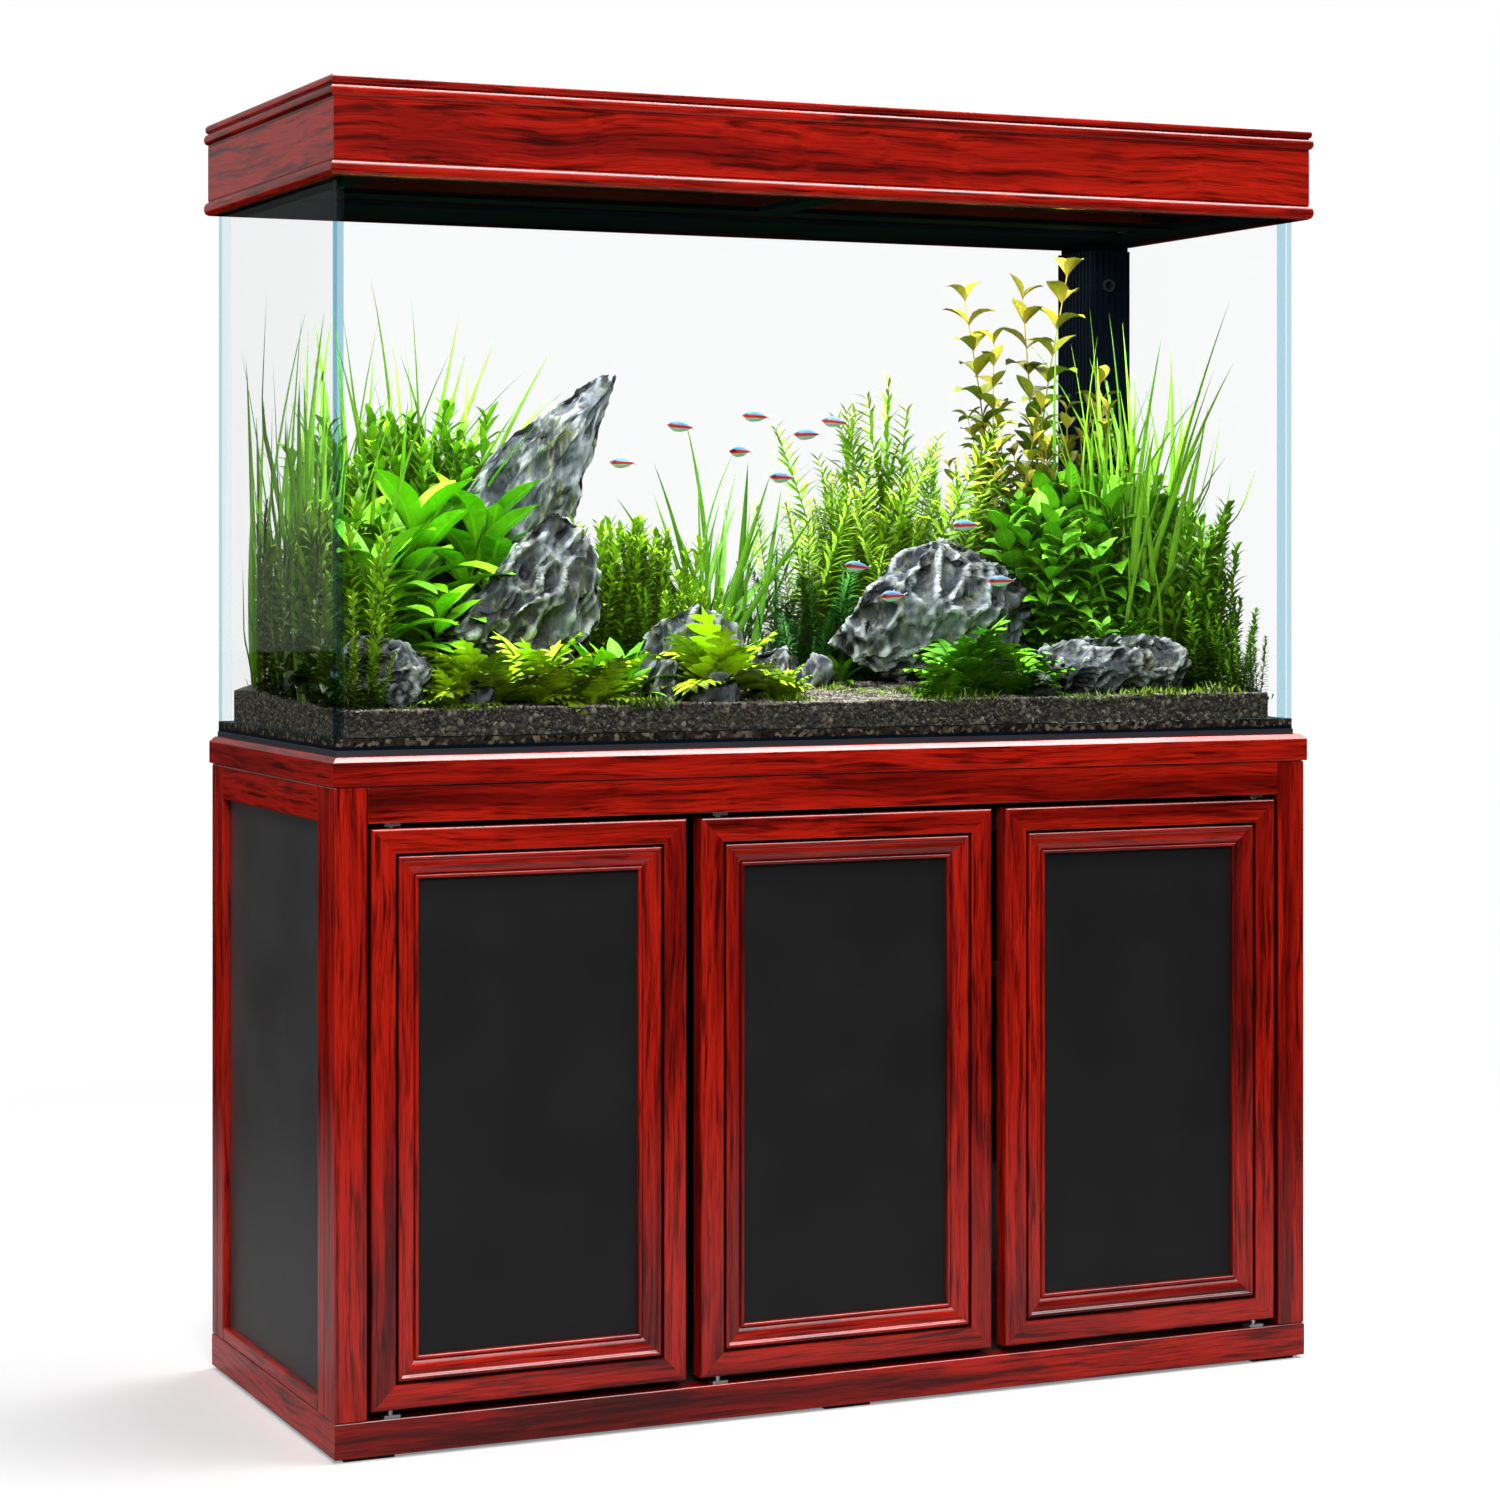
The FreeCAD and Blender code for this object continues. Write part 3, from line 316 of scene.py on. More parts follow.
def ramp(tree, factor, stops):
    """A colour ramp through (place, colour or grey) stops."""
    made = node(tree, "ShaderNodeValToRGB", {"Fac": factor})
    points = made.color_ramp.elements
    while len(points) < len(stops):
        points.new(0.5)
    for point, (place, colour) in zip(points, stops):
        point.position = place
        point.color = tuple(colour) if hasattr(colour, "__len__") else (colour, colour, colour, 1)
    return made.outputs["Color"]


def blend(tree, factor, first, second, kind="MIX"):
    made = node(tree, "ShaderNodeMix", data_type="RGBA", blend_type=kind)
    for place, value in ((0, factor), (6, first), (7, second)):
        if isinstance(value, bpy.types.NodeSocket):
            tree.links.new(value, made.inputs[place])
        else:
            made.inputs[place].default_value = value
    return made.outputs[2]


def maths(tree, operation, *values):
    made = node(tree, "ShaderNodeMath", operation=operation)
    for place, value in enumerate(values):
        if isinstance(value, bpy.types.NodeSocket):
            tree.links.new(value, made.inputs[place])
        else:
            made.inputs[place].default_value = value
    return made.outputs[0]


def bump(tree, height, strength, distance):
    sockets = {"Height": height, "Strength": strength, "Distance": distance}
    return node(tree, "ShaderNodeBump", sockets).outputs[0]


def stored(tree, name):
    return node(tree, "ShaderNodeAttribute", attribute_name=name).outputs["Fac"]


# ------------------------------------------------------------------ finishes
MADE = {}


def keep(name, maker, *values, **settings):
    """Makes a material the first time it is asked for."""
    if name not in MADE:
        MADE[name] = maker(name, *values, **settings)
    return MADE[name]


def make_wood(name, axis, figure=1.0):
    """Glossy red lacquer over wood whose streaks run along one axis; figure widens and curls them."""
    look = bpy.context.scene.wood_look
    material, tree = blank(name)
    place = coordinates(tree)
    lot = maths(tree, "MULTIPLY", stored(tree, "board"), 31.0)
    sway = grain_noise(tree, place, 4.5, 2, lot).outputs["Color"]
    shift = node(tree, "ShaderNodeVectorMath", {0: sway, 1: (0.5, 0.5, 0.5)}, operation="SUBTRACT").outputs[0]
    reach = 0.022 * figure
    swing = node(tree, "ShaderNodeVectorMath", {0: shift, "Scale": reach}, operation="SCALE").outputs[0]
    bent = node(tree, "ShaderNodeVectorMath", {0: place, 1: swing}, operation="ADD").outputs[0]
    stretch = {"X": (0.045, 1, 1), "Y": (1, 0.045, 1), "Z": (1, 1, 0.045)}[axis]
    long_grain = node(tree, "ShaderNodeMapping", {"Vector": bent, "Scale": stretch}).outputs["Vector"]
    fine = tuple(0.6 * s if s < 1 else s for s in stretch)
    fine_grain = node(tree, "ShaderNodeMapping", {"Vector": bent, "Scale": fine}).outputs["Vector"]
    broad = grain_noise(tree, long_grain, 34 / figure, 3, lot, 0.55).outputs["Fac"]
    tone = ramp(tree, broad, [(0.26, look.dark), (0.41, look.middle), (0.53, look.bright),
                              (0.70, look.bright)])
    streaks = grain_noise(tree, long_grain, 210 / figure, 4, lot, 0.62).outputs["Fac"]
    mask = ramp(tree, streaks, [(0.36, 0.85), (0.51, 0.0)])
    tone = blend(tree, mask, tone, look.dark)
    fibres = grain_noise(tree, fine_grain, 560, 2, lot, 0.6).outputs["Fac"]
    tone = blend(tree, 1.0, tone, ramp(tree, fibres, [(0.32, 0.50), (0.56, 1.0)]), "MULTIPLY")
    # Painted shade: ambient occlusion darkens the wood in grooves, corners and recesses.
    painted_occlusion = node(tree, "ShaderNodeAmbientOcclusion", {"Distance": 0.020}, samples=6).outputs["AO"]
    tone = blend(tree, 1.0, tone, ramp(tree, painted_occlusion, [(0.30, 0.15), (0.78, 1.0)]), "MULTIPLY")
    rough = maths(tree, "MULTIPLY_ADD", fibres, 0.10, look.roughness - 0.05)
    surface = node(tree, "ShaderNodeBsdfPrincipled", {
        "Base Color": tone, "Roughness": rough, "Normal": bump(tree, fibres, 0.10, 0.0004),
        "Specular IOR Level": 0.20, "Coat Weight": 0.85, "Coat Roughness": 0.10})
    finish_with(tree, surface)
    return material


def wood(axis):
    return keep("red_wood_along_" + axis.lower(), make_wood, axis)


def figured_wood(axis):
    return keep("figured_wood_along_" + axis.lower(), make_wood, axis, figure=1.9)


def make_moulded(name, colour, roughness, speck=900.0, depth=0.06, mottle=0.12, metallic=0.0, sheen=0.0,
                 stretch=(1, 1, 1), specular=0.5):
    """Moulded, painted or metal surface: fine texture, slight mottling and uneven gloss."""
    material, tree = blank(name)
    place = coordinates(tree, stretch)
    patches = grain_noise(tree, place, 9, 3).outputs["Fac"]
    specks = grain_noise(tree, place, speck, 2).outputs["Fac"]
    dull = tuple(c * (1 - mottle) for c in colour) + (1,)
    lively = tuple(min(1, c * (1 + mottle)) for c in colour) + (1,)
    tone = ramp(tree, patches, [(0.35, dull), (0.65, lively)])
    tone = blend(tree, 0.5, tone, ramp(tree, specks, [(0.3, 0.8), (0.6, 1.0)]), "MULTIPLY")
    rough = maths(tree, "MULTIPLY_ADD", patches, 0.16, max(0.02, roughness - 0.08))
    surface = node(tree, "ShaderNodeBsdfPrincipled", {
        "Base Color": tone, "Roughness": rough, "Metallic": metallic,
        "Normal": bump(tree, specks, depth, 0.0005), "Sheen Weight": sheen, "Specular IOR Level": specular})
    finish_with(tree, surface)
    return material


def make_lit(name, colour, strength):
    """The lamp's milky diffuser."""
    material, tree = blank(name)
    place = coordinates(tree)
    dots = node(tree, "ShaderNodeTexVoronoi", {"Vector": place, "Scale": 60.0}).outputs["Distance"]
    glow = ramp(tree, dots, [(0.0, (1, 1, 1, 1)), (0.6, tuple(colour) + (1,))])
    surface = node(tree, "ShaderNodeBsdfPrincipled", {
        "Base Color": glow, "Roughness": 0.35, "Emission Color": glow, "Emission Strength": strength})
    finish_with(tree, surface)
    return material


def make_glass(name, tint, gloss):
    """Thin clear glass: light passes straight through with a tint, and glancing light is mirrored."""
    material, tree = blank(name)
    smudge = grain_noise(tree, coordinates(tree), 3.0, 2).outputs["Fac"]
    rough = maths(tree, "MULTIPLY_ADD", smudge, 0.03, 0.005)
    clear = node(tree, "ShaderNodeBsdfTransparent", {"Color": tuple(tint) + (1,)})
    mirror = node(tree, "ShaderNodeBsdfGlossy", {"Color": (0.93, 0.98, 1, 1), "Roughness": rough})
    facing = node(tree, "ShaderNodeLayerWeight", {"Blend": 0.5}).outputs["Facing"]
    glance = maths(tree, "POWER", facing, 5.0)
    share = maths(tree, "MULTIPLY_ADD", glance, gloss, 0.010)
    mixed = node(tree, "ShaderNodeMixShader", {0: share})
    tree.links.new(clear.outputs[0], mixed.inputs[1])
    tree.links.new(mirror.outputs[0], mixed.inputs[2])
    finish_with(tree, mixed)
    return material


def make_floor_glass(name):
    """Edge of the glass floor: soil shows in its upper part, dark blue below."""
    material, tree = blank(name)
    place = coordinates(tree)
    level = node(tree, "ShaderNodeSeparateXYZ", {0: place}).outputs["Z"]
    wobble = maths(tree, "MULTIPLY_ADD", grain_noise(tree, place, 260, 2).outputs["Fac"], 0.004, level)
    grains = node(tree, "ShaderNodeTexVoronoi", {"Vector": place, "Scale": 230.0})
    lots = node(tree, "ShaderNodeSeparateColor", {0: grains.outputs["Color"]}).outputs[0]
    soil = ramp(tree, lots, [(0.0, (0.006, 0.006, 0.005, 1)), (0.7, (0.035, 0.030, 0.020, 1)),
                             (1.0, (0.20, 0.18, 0.13, 1))])
    share = node(tree, "ShaderNodeMapRange",
                 {"Value": wobble, "From Min": 0.7535, "From Max": 0.7555}).outputs[0]
    tone = blend(tree, share, (0.0012, 0.0080, 0.0160, 1), soil)
    surface = node(tree, "ShaderNodeBsdfPrincipled", {"Base Color": tone, "Roughness": 0.18})
    finish_with(tree, surface)
    return material


FINISHES = {
    "black_panel": lambda n: make_moulded(n, (0.0085, 0.0085, 0.0087), 0.45, 1500, 0.05, 0.10, specular=0.35),
    # Painted sheen: the side panels are the black panel made lighter, standing in for the light that they
    # reflect.
    "side_panel": lambda n: make_moulded(n, (0.038, 0.038, 0.039), 0.40, 1500, 0.05, 0.10, specular=0.6),
    "black_board": lambda n: make_moulded(n, (0.013, 0.012, 0.012), 0.60, 400, 0.20, 0.25,
                                          stretch=(0.2, 1, 1)),
    "rubber": lambda n: make_moulded(n, (0.016, 0.016, 0.016), 0.75, 1200, 0.25, 0.15),
    "foam_mat": lambda n: make_moulded(n, (0.004, 0.008, 0.013), 0.55, 1600, 0.35, 0.20),
    "brushed_steel": lambda n: make_moulded(n, (0.62, 0.62, 0.64), 0.30, 1400, 0.10, 0.08, 1.0,
                                            stretch=(0.1, 1, 1)),
    "brass": lambda n: make_moulded(n, (0.72, 0.50, 0.22), 0.28, 1400, 0.08, 0.10, 1.0),
    "floor_glass": make_floor_glass,
    "overflow_plastic": lambda n: make_moulded(n, (0.0012, 0.0030, 0.0060), 0.22, 700, 0.05, 0.25,
                                               specular=0.12),
    "black_pipe": lambda n: make_moulded(n, (0.010, 0.011, 0.012), 0.40, 700, 0.08, 0.15),
    "ceiling_plastic": lambda n: make_moulded(n, (0.0016, 0.0065, 0.0120), 0.80, 900, 0.12, 0.20,
                                              specular=0.02),
    "black_plastic": lambda n: make_moulded(n, (0.016, 0.016, 0.018), 0.36, 1100, 0.20, 0.12),
    "pipe_plastic": lambda n: make_moulded(n, (0.42, 0.44, 0.47), 0.38, 500, 0.08, 0.08),
    "red_plastic": lambda n: make_moulded(n, (0.55, 0.020, 0.012), 0.30, 700, 0.08, 0.10),
    "filter_wool": lambda n: make_moulded(n, (0.78, 0.80, 0.83), 0.95, 420, 1.00, 0.14, sheen=0.4),
    "aluminium": lambda n: make_moulded(n, (0.70, 0.71, 0.73), 0.34, 1300, 0.10, 0.06, 1.0,
                                        stretch=(0.08, 1, 1)),
    "lamp_diffuser": lambda n: make_lit(n, (0.80, 0.88, 1.0), 0.6),
    "clear_glass": lambda n: make_glass(n, (0.9965, 0.999, 1.0), 0.28),
    "clear_silicone": lambda n: make_glass(n, (0.90, 0.96, 0.98), 0.2),
    "glass_edge": lambda n: make_glass(n, (0.50, 0.72, 0.82), 0.5),
}


def finish(name):
    return keep(name, lambda n: FINISHES[n](n))


def dress(node_name, material):
    """Gives a CAD node that keeps its own shape a detailed material."""
    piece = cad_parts[node_name]
    if not piece.material_slots:
        piece.data.materials.append(material)
    for holder in piece.material_slots:
        holder.material = material


# ------------------------------------------------------------------ cabinet
PLINTH_SECTION = ([(0.8, 0), (22, 0), (22, 38)] + arc(2.6, 35.4, 2.6, 90, 180, 3) + [(0, 0.8)])
CAP_SECTION = ([(0.8, 0), (60, 0), (60, 31)] + arc(6.2, 29.4, 1.6, 90, 130, 2)
               + arc(1.6, 24.8, 1.6, 140, 180, 2) + [(0, 0.8)])
DOOR_SECTION = ([(0, 0)] + arc(4.2, 17.8, 4.2, 180, 90, 5)
                + [(25.6, 22), (26.7, 21.5), (27, 20.4), (27, 10), (33, 10), (33, 0)])
BEAD_SECTION = ([(0, 10)] + arc(2.3, 19.7, 2.3, 180, 25, 6) + arc(7.5, 21.3, 3.0, 215, 290, 5)
                + [(10.0, 18.8), (12.6, 18.3), (15.4, 17.2), (18.0, 15.7), (20.1, 14.0)]
                + arc(22.6, 14.4, 2.2, 165, 0, 6) + [(24.8, 10)])
POST_WIDTH = 0.036
POST_FRONT_BOARD = 0.038
POST_REAR_BOARD = 0.022
POST_FRONT_DEPTH = 0.062
POST_REAR_DEPTH = 0.046
BOARD_THICK = 0.022
RIM_WIDTH = 0.060
UNDER_CAP = 0.0004


class AQUARIUM_OT_carcass(bpy.types.Operator):
    """Plinth, posts, rails, side rails and cap of the cabinet"""
    bl_idname = "aquarium.carcass"
    bl_label = "Cabinet carcass"

    def execute(self, context):
        low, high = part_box("plinth_boards")
        plinth = mitred_ring("plinth", PLINTH_SECTION, low, high, (wood("X"), wood("Y")))
        fit(plinth, "cabinet", "red_wood", "plinth_boards")
        self.make_posts()
        self.make_rails()
        low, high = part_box("cap_board")
        rim = mitred_ring("cap_rim", CAP_SECTION, low, high, (wood("X"), wood("Y")), seed=5)
        middle = board((low.x + RIM_WIDTH, high.x - RIM_WIDTH), (low.y + RIM_WIDTH, high.y - RIM_WIDTH),
                       (low.z + 0.0005, high.z - 0.0005), wood("X"))
        cap = join("cap", [rim, middle])
        shade(cap)
        fit(cap, "cabinet", "red_wood", "cap_board")
        return {"FINISHED"}

    def make_posts(self):
        low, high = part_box("posts")
        front_end = low.y + POST_FRONT_DEPTH
        rear_start = high.y - POST_REAR_DEPTH
        side = (high.x - POST_WIDTH, high.x)
        height = (low.z, high.z - UNDER_CAP)
        boards = []
        for y in ((low.y, low.y + POST_FRONT_BOARD), (low.y + POST_FRONT_BOARD, front_end),
                  (rear_start, rear_start + POST_REAR_BOARD), (rear_start + POST_REAR_BOARD, high.y)):
            boards += mirrored(side, y, height, wood("Z"))
        posts = join("corner_posts", boards)
        shade(posts)
        fit(posts, "cabinet", "red_wood", "posts")

    def make_rails(self):
        low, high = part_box("top_rails")
        low_post, high_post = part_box("posts")
        inner_x = high_post.x - POST_WIDTH
        between = (low_post.y + POST_FRONT_DEPTH, high_post.y - POST_REAR_DEPTH)
        z = (low.z, high.z - UNDER_CAP)
        boards = [board((-inner_x, inner_x), (low.y, low.y + BOARD_THICK), z, wood("X")),
                  board((-inner_x, inner_x), (high.y - BOARD_THICK, high.y), z, wood("X"))]
        boards += mirrored((high.x - BOARD_THICK, high.x), between, z, wood("Y"))
        rails = join("upper_rails", boards)
        shade(rails)
        fit(rails, "cabinet", "red_wood", "top_rails")
        low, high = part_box("side_bottom_rails")
        lower = join("lower_side_rails",
                     mirrored((high.x - BOARD_THICK, high.x), between, (low.z, high.z), wood("Y"),
                              edge=0.0035))
        shade(lower)
        fit(lower, "cabinet", "red_wood", "side_bottom_rails")


class AQUARIUM_OT_doors(bpy.types.Operator):
    """Three doors, each a mitred frame with a mitred inner moulding round a black panel"""
    bl_idname = "aquarium.doors"
    bl_label = "Doors"

    def execute(self, context):
        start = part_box("left_door_frame")
        frame_ring = mitred_ring("door_framing", DOOR_SECTION, *start, (wood("X"), wood("Z")), upright=True)
        bead_low, bead_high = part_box("left_door_moulding")
        bead_high.y = start[1].y
        bead_ring = mitred_ring("door_bead", BEAD_SECTION, bead_low, bead_high, (wood("X"), wood("Z")),
                                upright=True, seed=2)
        for k, door in enumerate(DOORS):
            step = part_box(door + "_door_frame")[0].x - start[0].x
            for source, kind in ((frame_ring, "frame"), (bead_ring, "moulding")):
                piece = copy_of(source, Matrix.Translation((step, 0, 0)))
                settle(piece)
                piece.name = "%s_door_%s" % (door, {"frame": "framing", "moulding": "bead"}[kind])
                values = [0.0] * len(piece.data.vertices)
                piece.data.attributes["board"].data.foreach_get("value", values)
                write(piece, "board", [value + 3.3 * k for value in values])
                fit(piece, door + "_door", "red_wood", "%s_door_%s" % (door, kind))
            dress(door + "_door_panel", finish("black_panel"))
            dress(door + "_door_fittings", finish("brass"))
        discard(frame_ring, bead_ring)
        return {"FINISHED"}


# ------------------------------------------------------------------ hood
CORNICE_SECTION = ([(4.2, 0), (42, 0), (42, 10), (30, 10), (30, 26)] + arc(5.6, 24.4, 1.6, 90, 120, 2)
                   + bulge(4.6, 20.4, 3.2, 4.9)[1:] + bulge(4.2, 8.6, 4.2, 6.3) + [(4.2, 1.4)])
BASE_BEAD_SECTION = ([(4.4, 0), (12, 0), (12, 16.5), (4.2, 16.5)] + bulge(4.2, 7.9, 4.2, 7.4))
FASCIA_SECTION = [(1.1, 0), (15, 0), (15, 64), (0.6, 64), (0, 63.4), (0, 1.1)]


class AQUARIUM_OT_hood(bpy.types.Operator):
    """Fascia boards, cornice and lower bead of the hood"""
    bl_idname = "aquarium.hood"
    bl_label = "Hood"

    def execute(self, context):
        for name, section, source, material in (
                ("hood_fascia", FASCIA_SECTION, "hood_boards", figured_wood),
                ("hood_cornice", CORNICE_SECTION, "hood_crown", wood),
                ("hood_lower_bead", BASE_BEAD_SECTION, "hood_base_moulding", wood)):
            low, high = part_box(source)
            ring = mitred_ring(name, section, low, high, (material("X"), material("Y")), seed=len(name))
            fit(ring, "hood", "red_wood", source)
        low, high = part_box("hood_rear_top")
        rear = board((low.x, high.x), (low.y, high.y), (low.z, high.z), wood("X"), edge=0.001)
        rear.name = "hood_rear_board"
        shade(rear)
        fit(rear, "hood", "red_wood", "hood_rear_top")
        return {"FINISHED"}


class AQUARIUM_OT_lids(bpy.types.Operator):
    """Two feeding lids with a rounded edge"""
    bl_idname = "aquarium.lids"
    bl_label = "Feeding lids"

    def execute(self, context):
        edge = context.scene.edge_sizes.thin
        for side in ("left", "right"):
            low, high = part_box(side + "_lid")
            lid = board((low.x, high.x), (low.y, high.y), (low.z, high.z), wood("X"), edge=edge)
            lid.name = side + "_lid_board"
            shade(lid)
            fit(lid, side + "_lid", "red_wood", side + "_lid")
            dress(side + "_lid_fittings", finish("brushed_steel"))
        dress("lid_hinges", finish("brushed_steel"))
        return {"FINISHED"}


# ------------------------------------------------------------------ tank
class AQUARIUM_OT_tank(bpy.types.Operator):
    """Panes with ground edges, their seams, the sump's panes and the overflow corner"""
    bl_idname = "aquarium.tank"
    bl_label = "Glass tank"

    def execute(self, context):
        front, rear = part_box("front_pane"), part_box("rear_pane")
        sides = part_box("side_panes")
        for name, source, spans in (
                ("front_glass", "front_pane", [(front[0], front[1])]),
                ("rear_glass", "rear_pane", [(rear[0], rear[1])]),
                ("side_glass", "side_panes",
                 [(sides[0], Vector((sides[0].x + GLASS_THICK, sides[1].y, sides[1].z))),
                  (Vector((sides[1].x - GLASS_THICK, sides[0].y, sides[0].z)), sides[1])])):
            panes = [self.make_pane(low, high) for low, high in spans]
            piece = join(name, panes)
            fit(piece, "cabinet", "clear_glass", source)
        dress("tank_floor_glass", finish("floor_glass"))
        dress("sump_panes", finish("clear_glass"))
        dress("silicone_seams", finish("clear_silicone"))
        dress("overflow_box", finish("overflow_plastic"))
        self.line_overflow()
        return {"FINISHED"}

    def line_overflow(self):
        """Thin ribbed linings on the rear and end glass, behind the slots of the overflow."""
        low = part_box("overflow_box")[0]
        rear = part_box("rear_pane")[0].y - 0.0006
        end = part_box("side_panes")[1].x - 0.0126
        dark = finish("overflow_plastic")
        z = (low.z + 0.002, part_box("rear_pane")[1].z - 0.001)
        sheets = [board((low.x + 0.006, end), (rear - 0.0012, rear), z, dark, edge=0.0004),
                  board((end - 0.0012, end), (low.y + 0.006, rear - 0.0012), z, dark, edge=0.0004)]
        for share in (0.2, 0.4, 0.6, 0.8):
            x = low.x + 0.006 + (end - low.x - 0.006) * share
            y = low.y + 0.006 + (rear - low.y - 0.006) * share
            sheets.append(board((x - 0.002, x + 0.002), (rear - 0.003, rear - 0.001), z, dark, edge=0.0006))
            sheets.append(board((end - 0.003, end - 0.001), (y - 0.002, y + 0.002), z, dark, edge=0.0006))
        piece = join("overflow_lining", sheets)
        shade(piece)
        fit(piece, "cabinet", "overflow_plastic")

    def make_pane(self, low, high):
        """A pane whose large faces and rear edge are clear and whose other edges are tinted."""
        pane = board((low.x, high.x), (low.y, high.y), (low.z, high.z), finish("clear_glass"),
                     edge=bpy.context.scene.edge_sizes.glass, segments=1)
        pane.data.materials.append(finish("glass_edge"))
        size = high - low
        thin = min(range(3), key=lambda k: size[k])
        for face in pane.data.polygons:
            clear = abs(face.normal[thin]) > 0.9 or face.normal.y > 0.5
            face.material_index = 0 if clear else 1
        return pane


CARRIED = (
    ("foot_pads", "rubber", "rubber_pad"), ("floor_board", "black_board", "black_board"),
    ("back_panels", "black_board", "black_board"), ("dividers", "black_board", "black_board"),
    ("side_panels", "side_panel", "black_panel"), ("base_mat", "foam_mat", "foam_mat"),
    ("hinge_pivots", "brushed_steel", "steel"), ("door_magnets", "black_plastic", "black_plastic"),
    ("hood_cross_rail", "ceiling_plastic", "black_board"),
    ("hood_ceiling", "ceiling_plastic", "ceiling_plastic"),
    ("lamp_housing", "aluminium", "aluminium"), ("lamp_panel", "lamp_diffuser", "lamp_diffuser"),
    ("drain_pipe", "pipe_plastic", "pipe_plastic"), ("return_pipe", "black_pipe", "pipe_plastic"),
    ("bulkheads", "black_plastic", "black_plastic"), ("valve_bodies", "pipe_plastic", "pipe_plastic"),
    ("drain_valve_handle", "red_plastic", "valve_plastic"),
    ("return_valve_handle", "red_plastic", "valve_plastic"),
    ("filter_tray", "black_plastic", "black_plastic"), ("filter_wool", "filter_wool", "wool"),
    ("return_pump", "black_plastic", "black_plastic"),
)


class AQUARIUM_OT_fittings(bpy.types.Operator):
    """Finishes of the panels, lamp, pipes, valves and filter, which keep their CAD shapes"""
    bl_idname = "aquarium.fittings"
    bl_label = "Panels and fittings"

    def execute(self, context):
        for node_name, look, slot in CARRIED:
            dress(node_name, finish(look))
        return {"FINISHED"}


# ------------------------------------------------------------------ soil and rocks
SOIL_LOW, SOIL_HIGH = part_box("soil_bed")
GLASS_GAP = 0.0006
PLANT_TOP = 1.345


def ground(x, y):
    """Height of the soil: level at the front and the ends, higher at the back, with a shallow path."""
    share = min(1, max(0, (y + 0.17) / 0.30))
    rise = 0.034 * share * share * (3 - 2 * share)
    path = math.exp(-((x - 0.03) / 0.13) ** 2)
    ripple = 0.0030 * noise.noise(Vector((x * 19, y * 19, 2.5)))
    ends = math.exp(-((0.60 - abs(x)) / 0.10) ** 2)
    return SOIL_LOW.z + 0.0290 + 1.25 * rise * (1 - 0.55 * path) * (1 - 0.85 * ends) + ripple


def keep_inside(piece):
    """Holds every point inside the glass, and out of the overflow corner."""
    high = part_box("front_pane")[1]
    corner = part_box("overflow_box")[0]
    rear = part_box("rear_pane")[0].y - GLASS_GAP
    half = high.x - GLASS_THICK - GLASS_GAP
    for point in piece.data.vertices:
        co = point.co
        co.x = min(half, max(-half, co.x))
        co.y = min(rear, max(high.y + GLASS_GAP, co.y))
        co.z = min(PLANT_TOP, max(SOIL_LOW.z + GLASS_GAP, co.z))
        if co.x > corner.x - GLASS_GAP and co.y > corner.y - GLASS_GAP:
            if co.x - corner.x < co.y - corner.y:
                co.x = corner.x - GLASS_GAP
            else:
                co.y = corner.y - GLASS_GAP


def make_soil_look(name, pale):
    """Crumbly soil or gravel: grains of several browns, with painted shade between them."""
    material, tree = blank(name)
    place = coordinates(tree)
    wobble = grain_noise(tree, place, 130, 2).outputs["Color"]
    bent = node(tree, "ShaderNodeVectorMath", {0: wobble, 1: (0.0045, 0.0045, 0.0045), 2: place},
                operation="MULTIPLY_ADD").outputs[0]
    grains = node(tree, "ShaderNodeTexVoronoi", {"Vector": bent, "Scale": 150.0})
    chips = node(tree, "ShaderNodeTexVoronoi", {"Vector": bent, "Scale": 430.0}, distance="CHEBYCHEV")
    lots = node(tree, "ShaderNodeSeparateColor", {0: grains.outputs["Color"]}).outputs[0]
    deep = (0.010, 0.008, 0.006, 1)
    if pale:
        stops = [(0.0, (0.10, 0.085, 0.065, 1)), (0.45, (0.27, 0.235, 0.185, 1)),
                 (0.8, (0.46, 0.42, 0.35, 1)), (1.0, (0.66, 0.62, 0.55, 1))]
    else:
        stops = [(0.0, deep), (0.45, (0.016, 0.014, 0.009, 1)), (0.72, (0.042, 0.036, 0.022, 1)),
                 (0.86, (0.16, 0.135, 0.085, 1)), (1.0, (0.36, 0.32, 0.24, 1))]
    tone = ramp(tree, lots, stops)
    patches = grain_noise(tree, place, 22, 3).outputs["Fac"]
    moss = ramp(tree, patches, [(0.52, 0.0), (0.66, 0.0 if pale else 0.55)])
    tone = blend(tree, moss, tone, (0.030, 0.040, 0.010, 1))
    # Painted shade: the colour darkens towards the edges of each grain, where the gaps are.
    painted_gap_shade = ramp(tree, grains.outputs["Distance"], [(0.30, 1.0), (0.68, 0.10)])
    tone = blend(tree, 1.0, tone, painted_gap_shade, "MULTIPLY")
    height = maths(tree, "MULTIPLY_ADD", grains.outputs["Distance"], -1.0,
                   maths(tree, "MULTIPLY", chips.outputs["Distance"], -0.3))
    surface = node(tree, "ShaderNodeBsdfPrincipled", {
        "Base Color": tone, "Roughness": 0.80, "Normal": bump(tree, height, 0.9, 0.003)})
    finish_with(tree, surface)
    return material


def make_grain_look(name, dark, light):
    """Loose grains, each with its own tone."""
    material, tree = blank(name)
    tint = stored(tree, "tint")
    fine = grain_noise(tree, coordinates(tree), 420, 3).outputs["Fac"]
    middle = tuple((a + b) / 2 for a, b in zip(dark, light))
    tone = ramp(tree, tint, [(0.0, dark), (0.7, middle), (1.0, light)])
    tone = blend(tree, 1.0, tone, ramp(tree, fine, [(0.3, 0.55), (0.65, 1.0)]), "MULTIPLY")
    surface = node(tree, "ShaderNodeBsdfPrincipled", {
        "Base Color": tone, "Roughness": 0.75, "Normal": bump(tree, fine, 0.5, 0.0008)})
    finish_with(tree, surface)
    return material


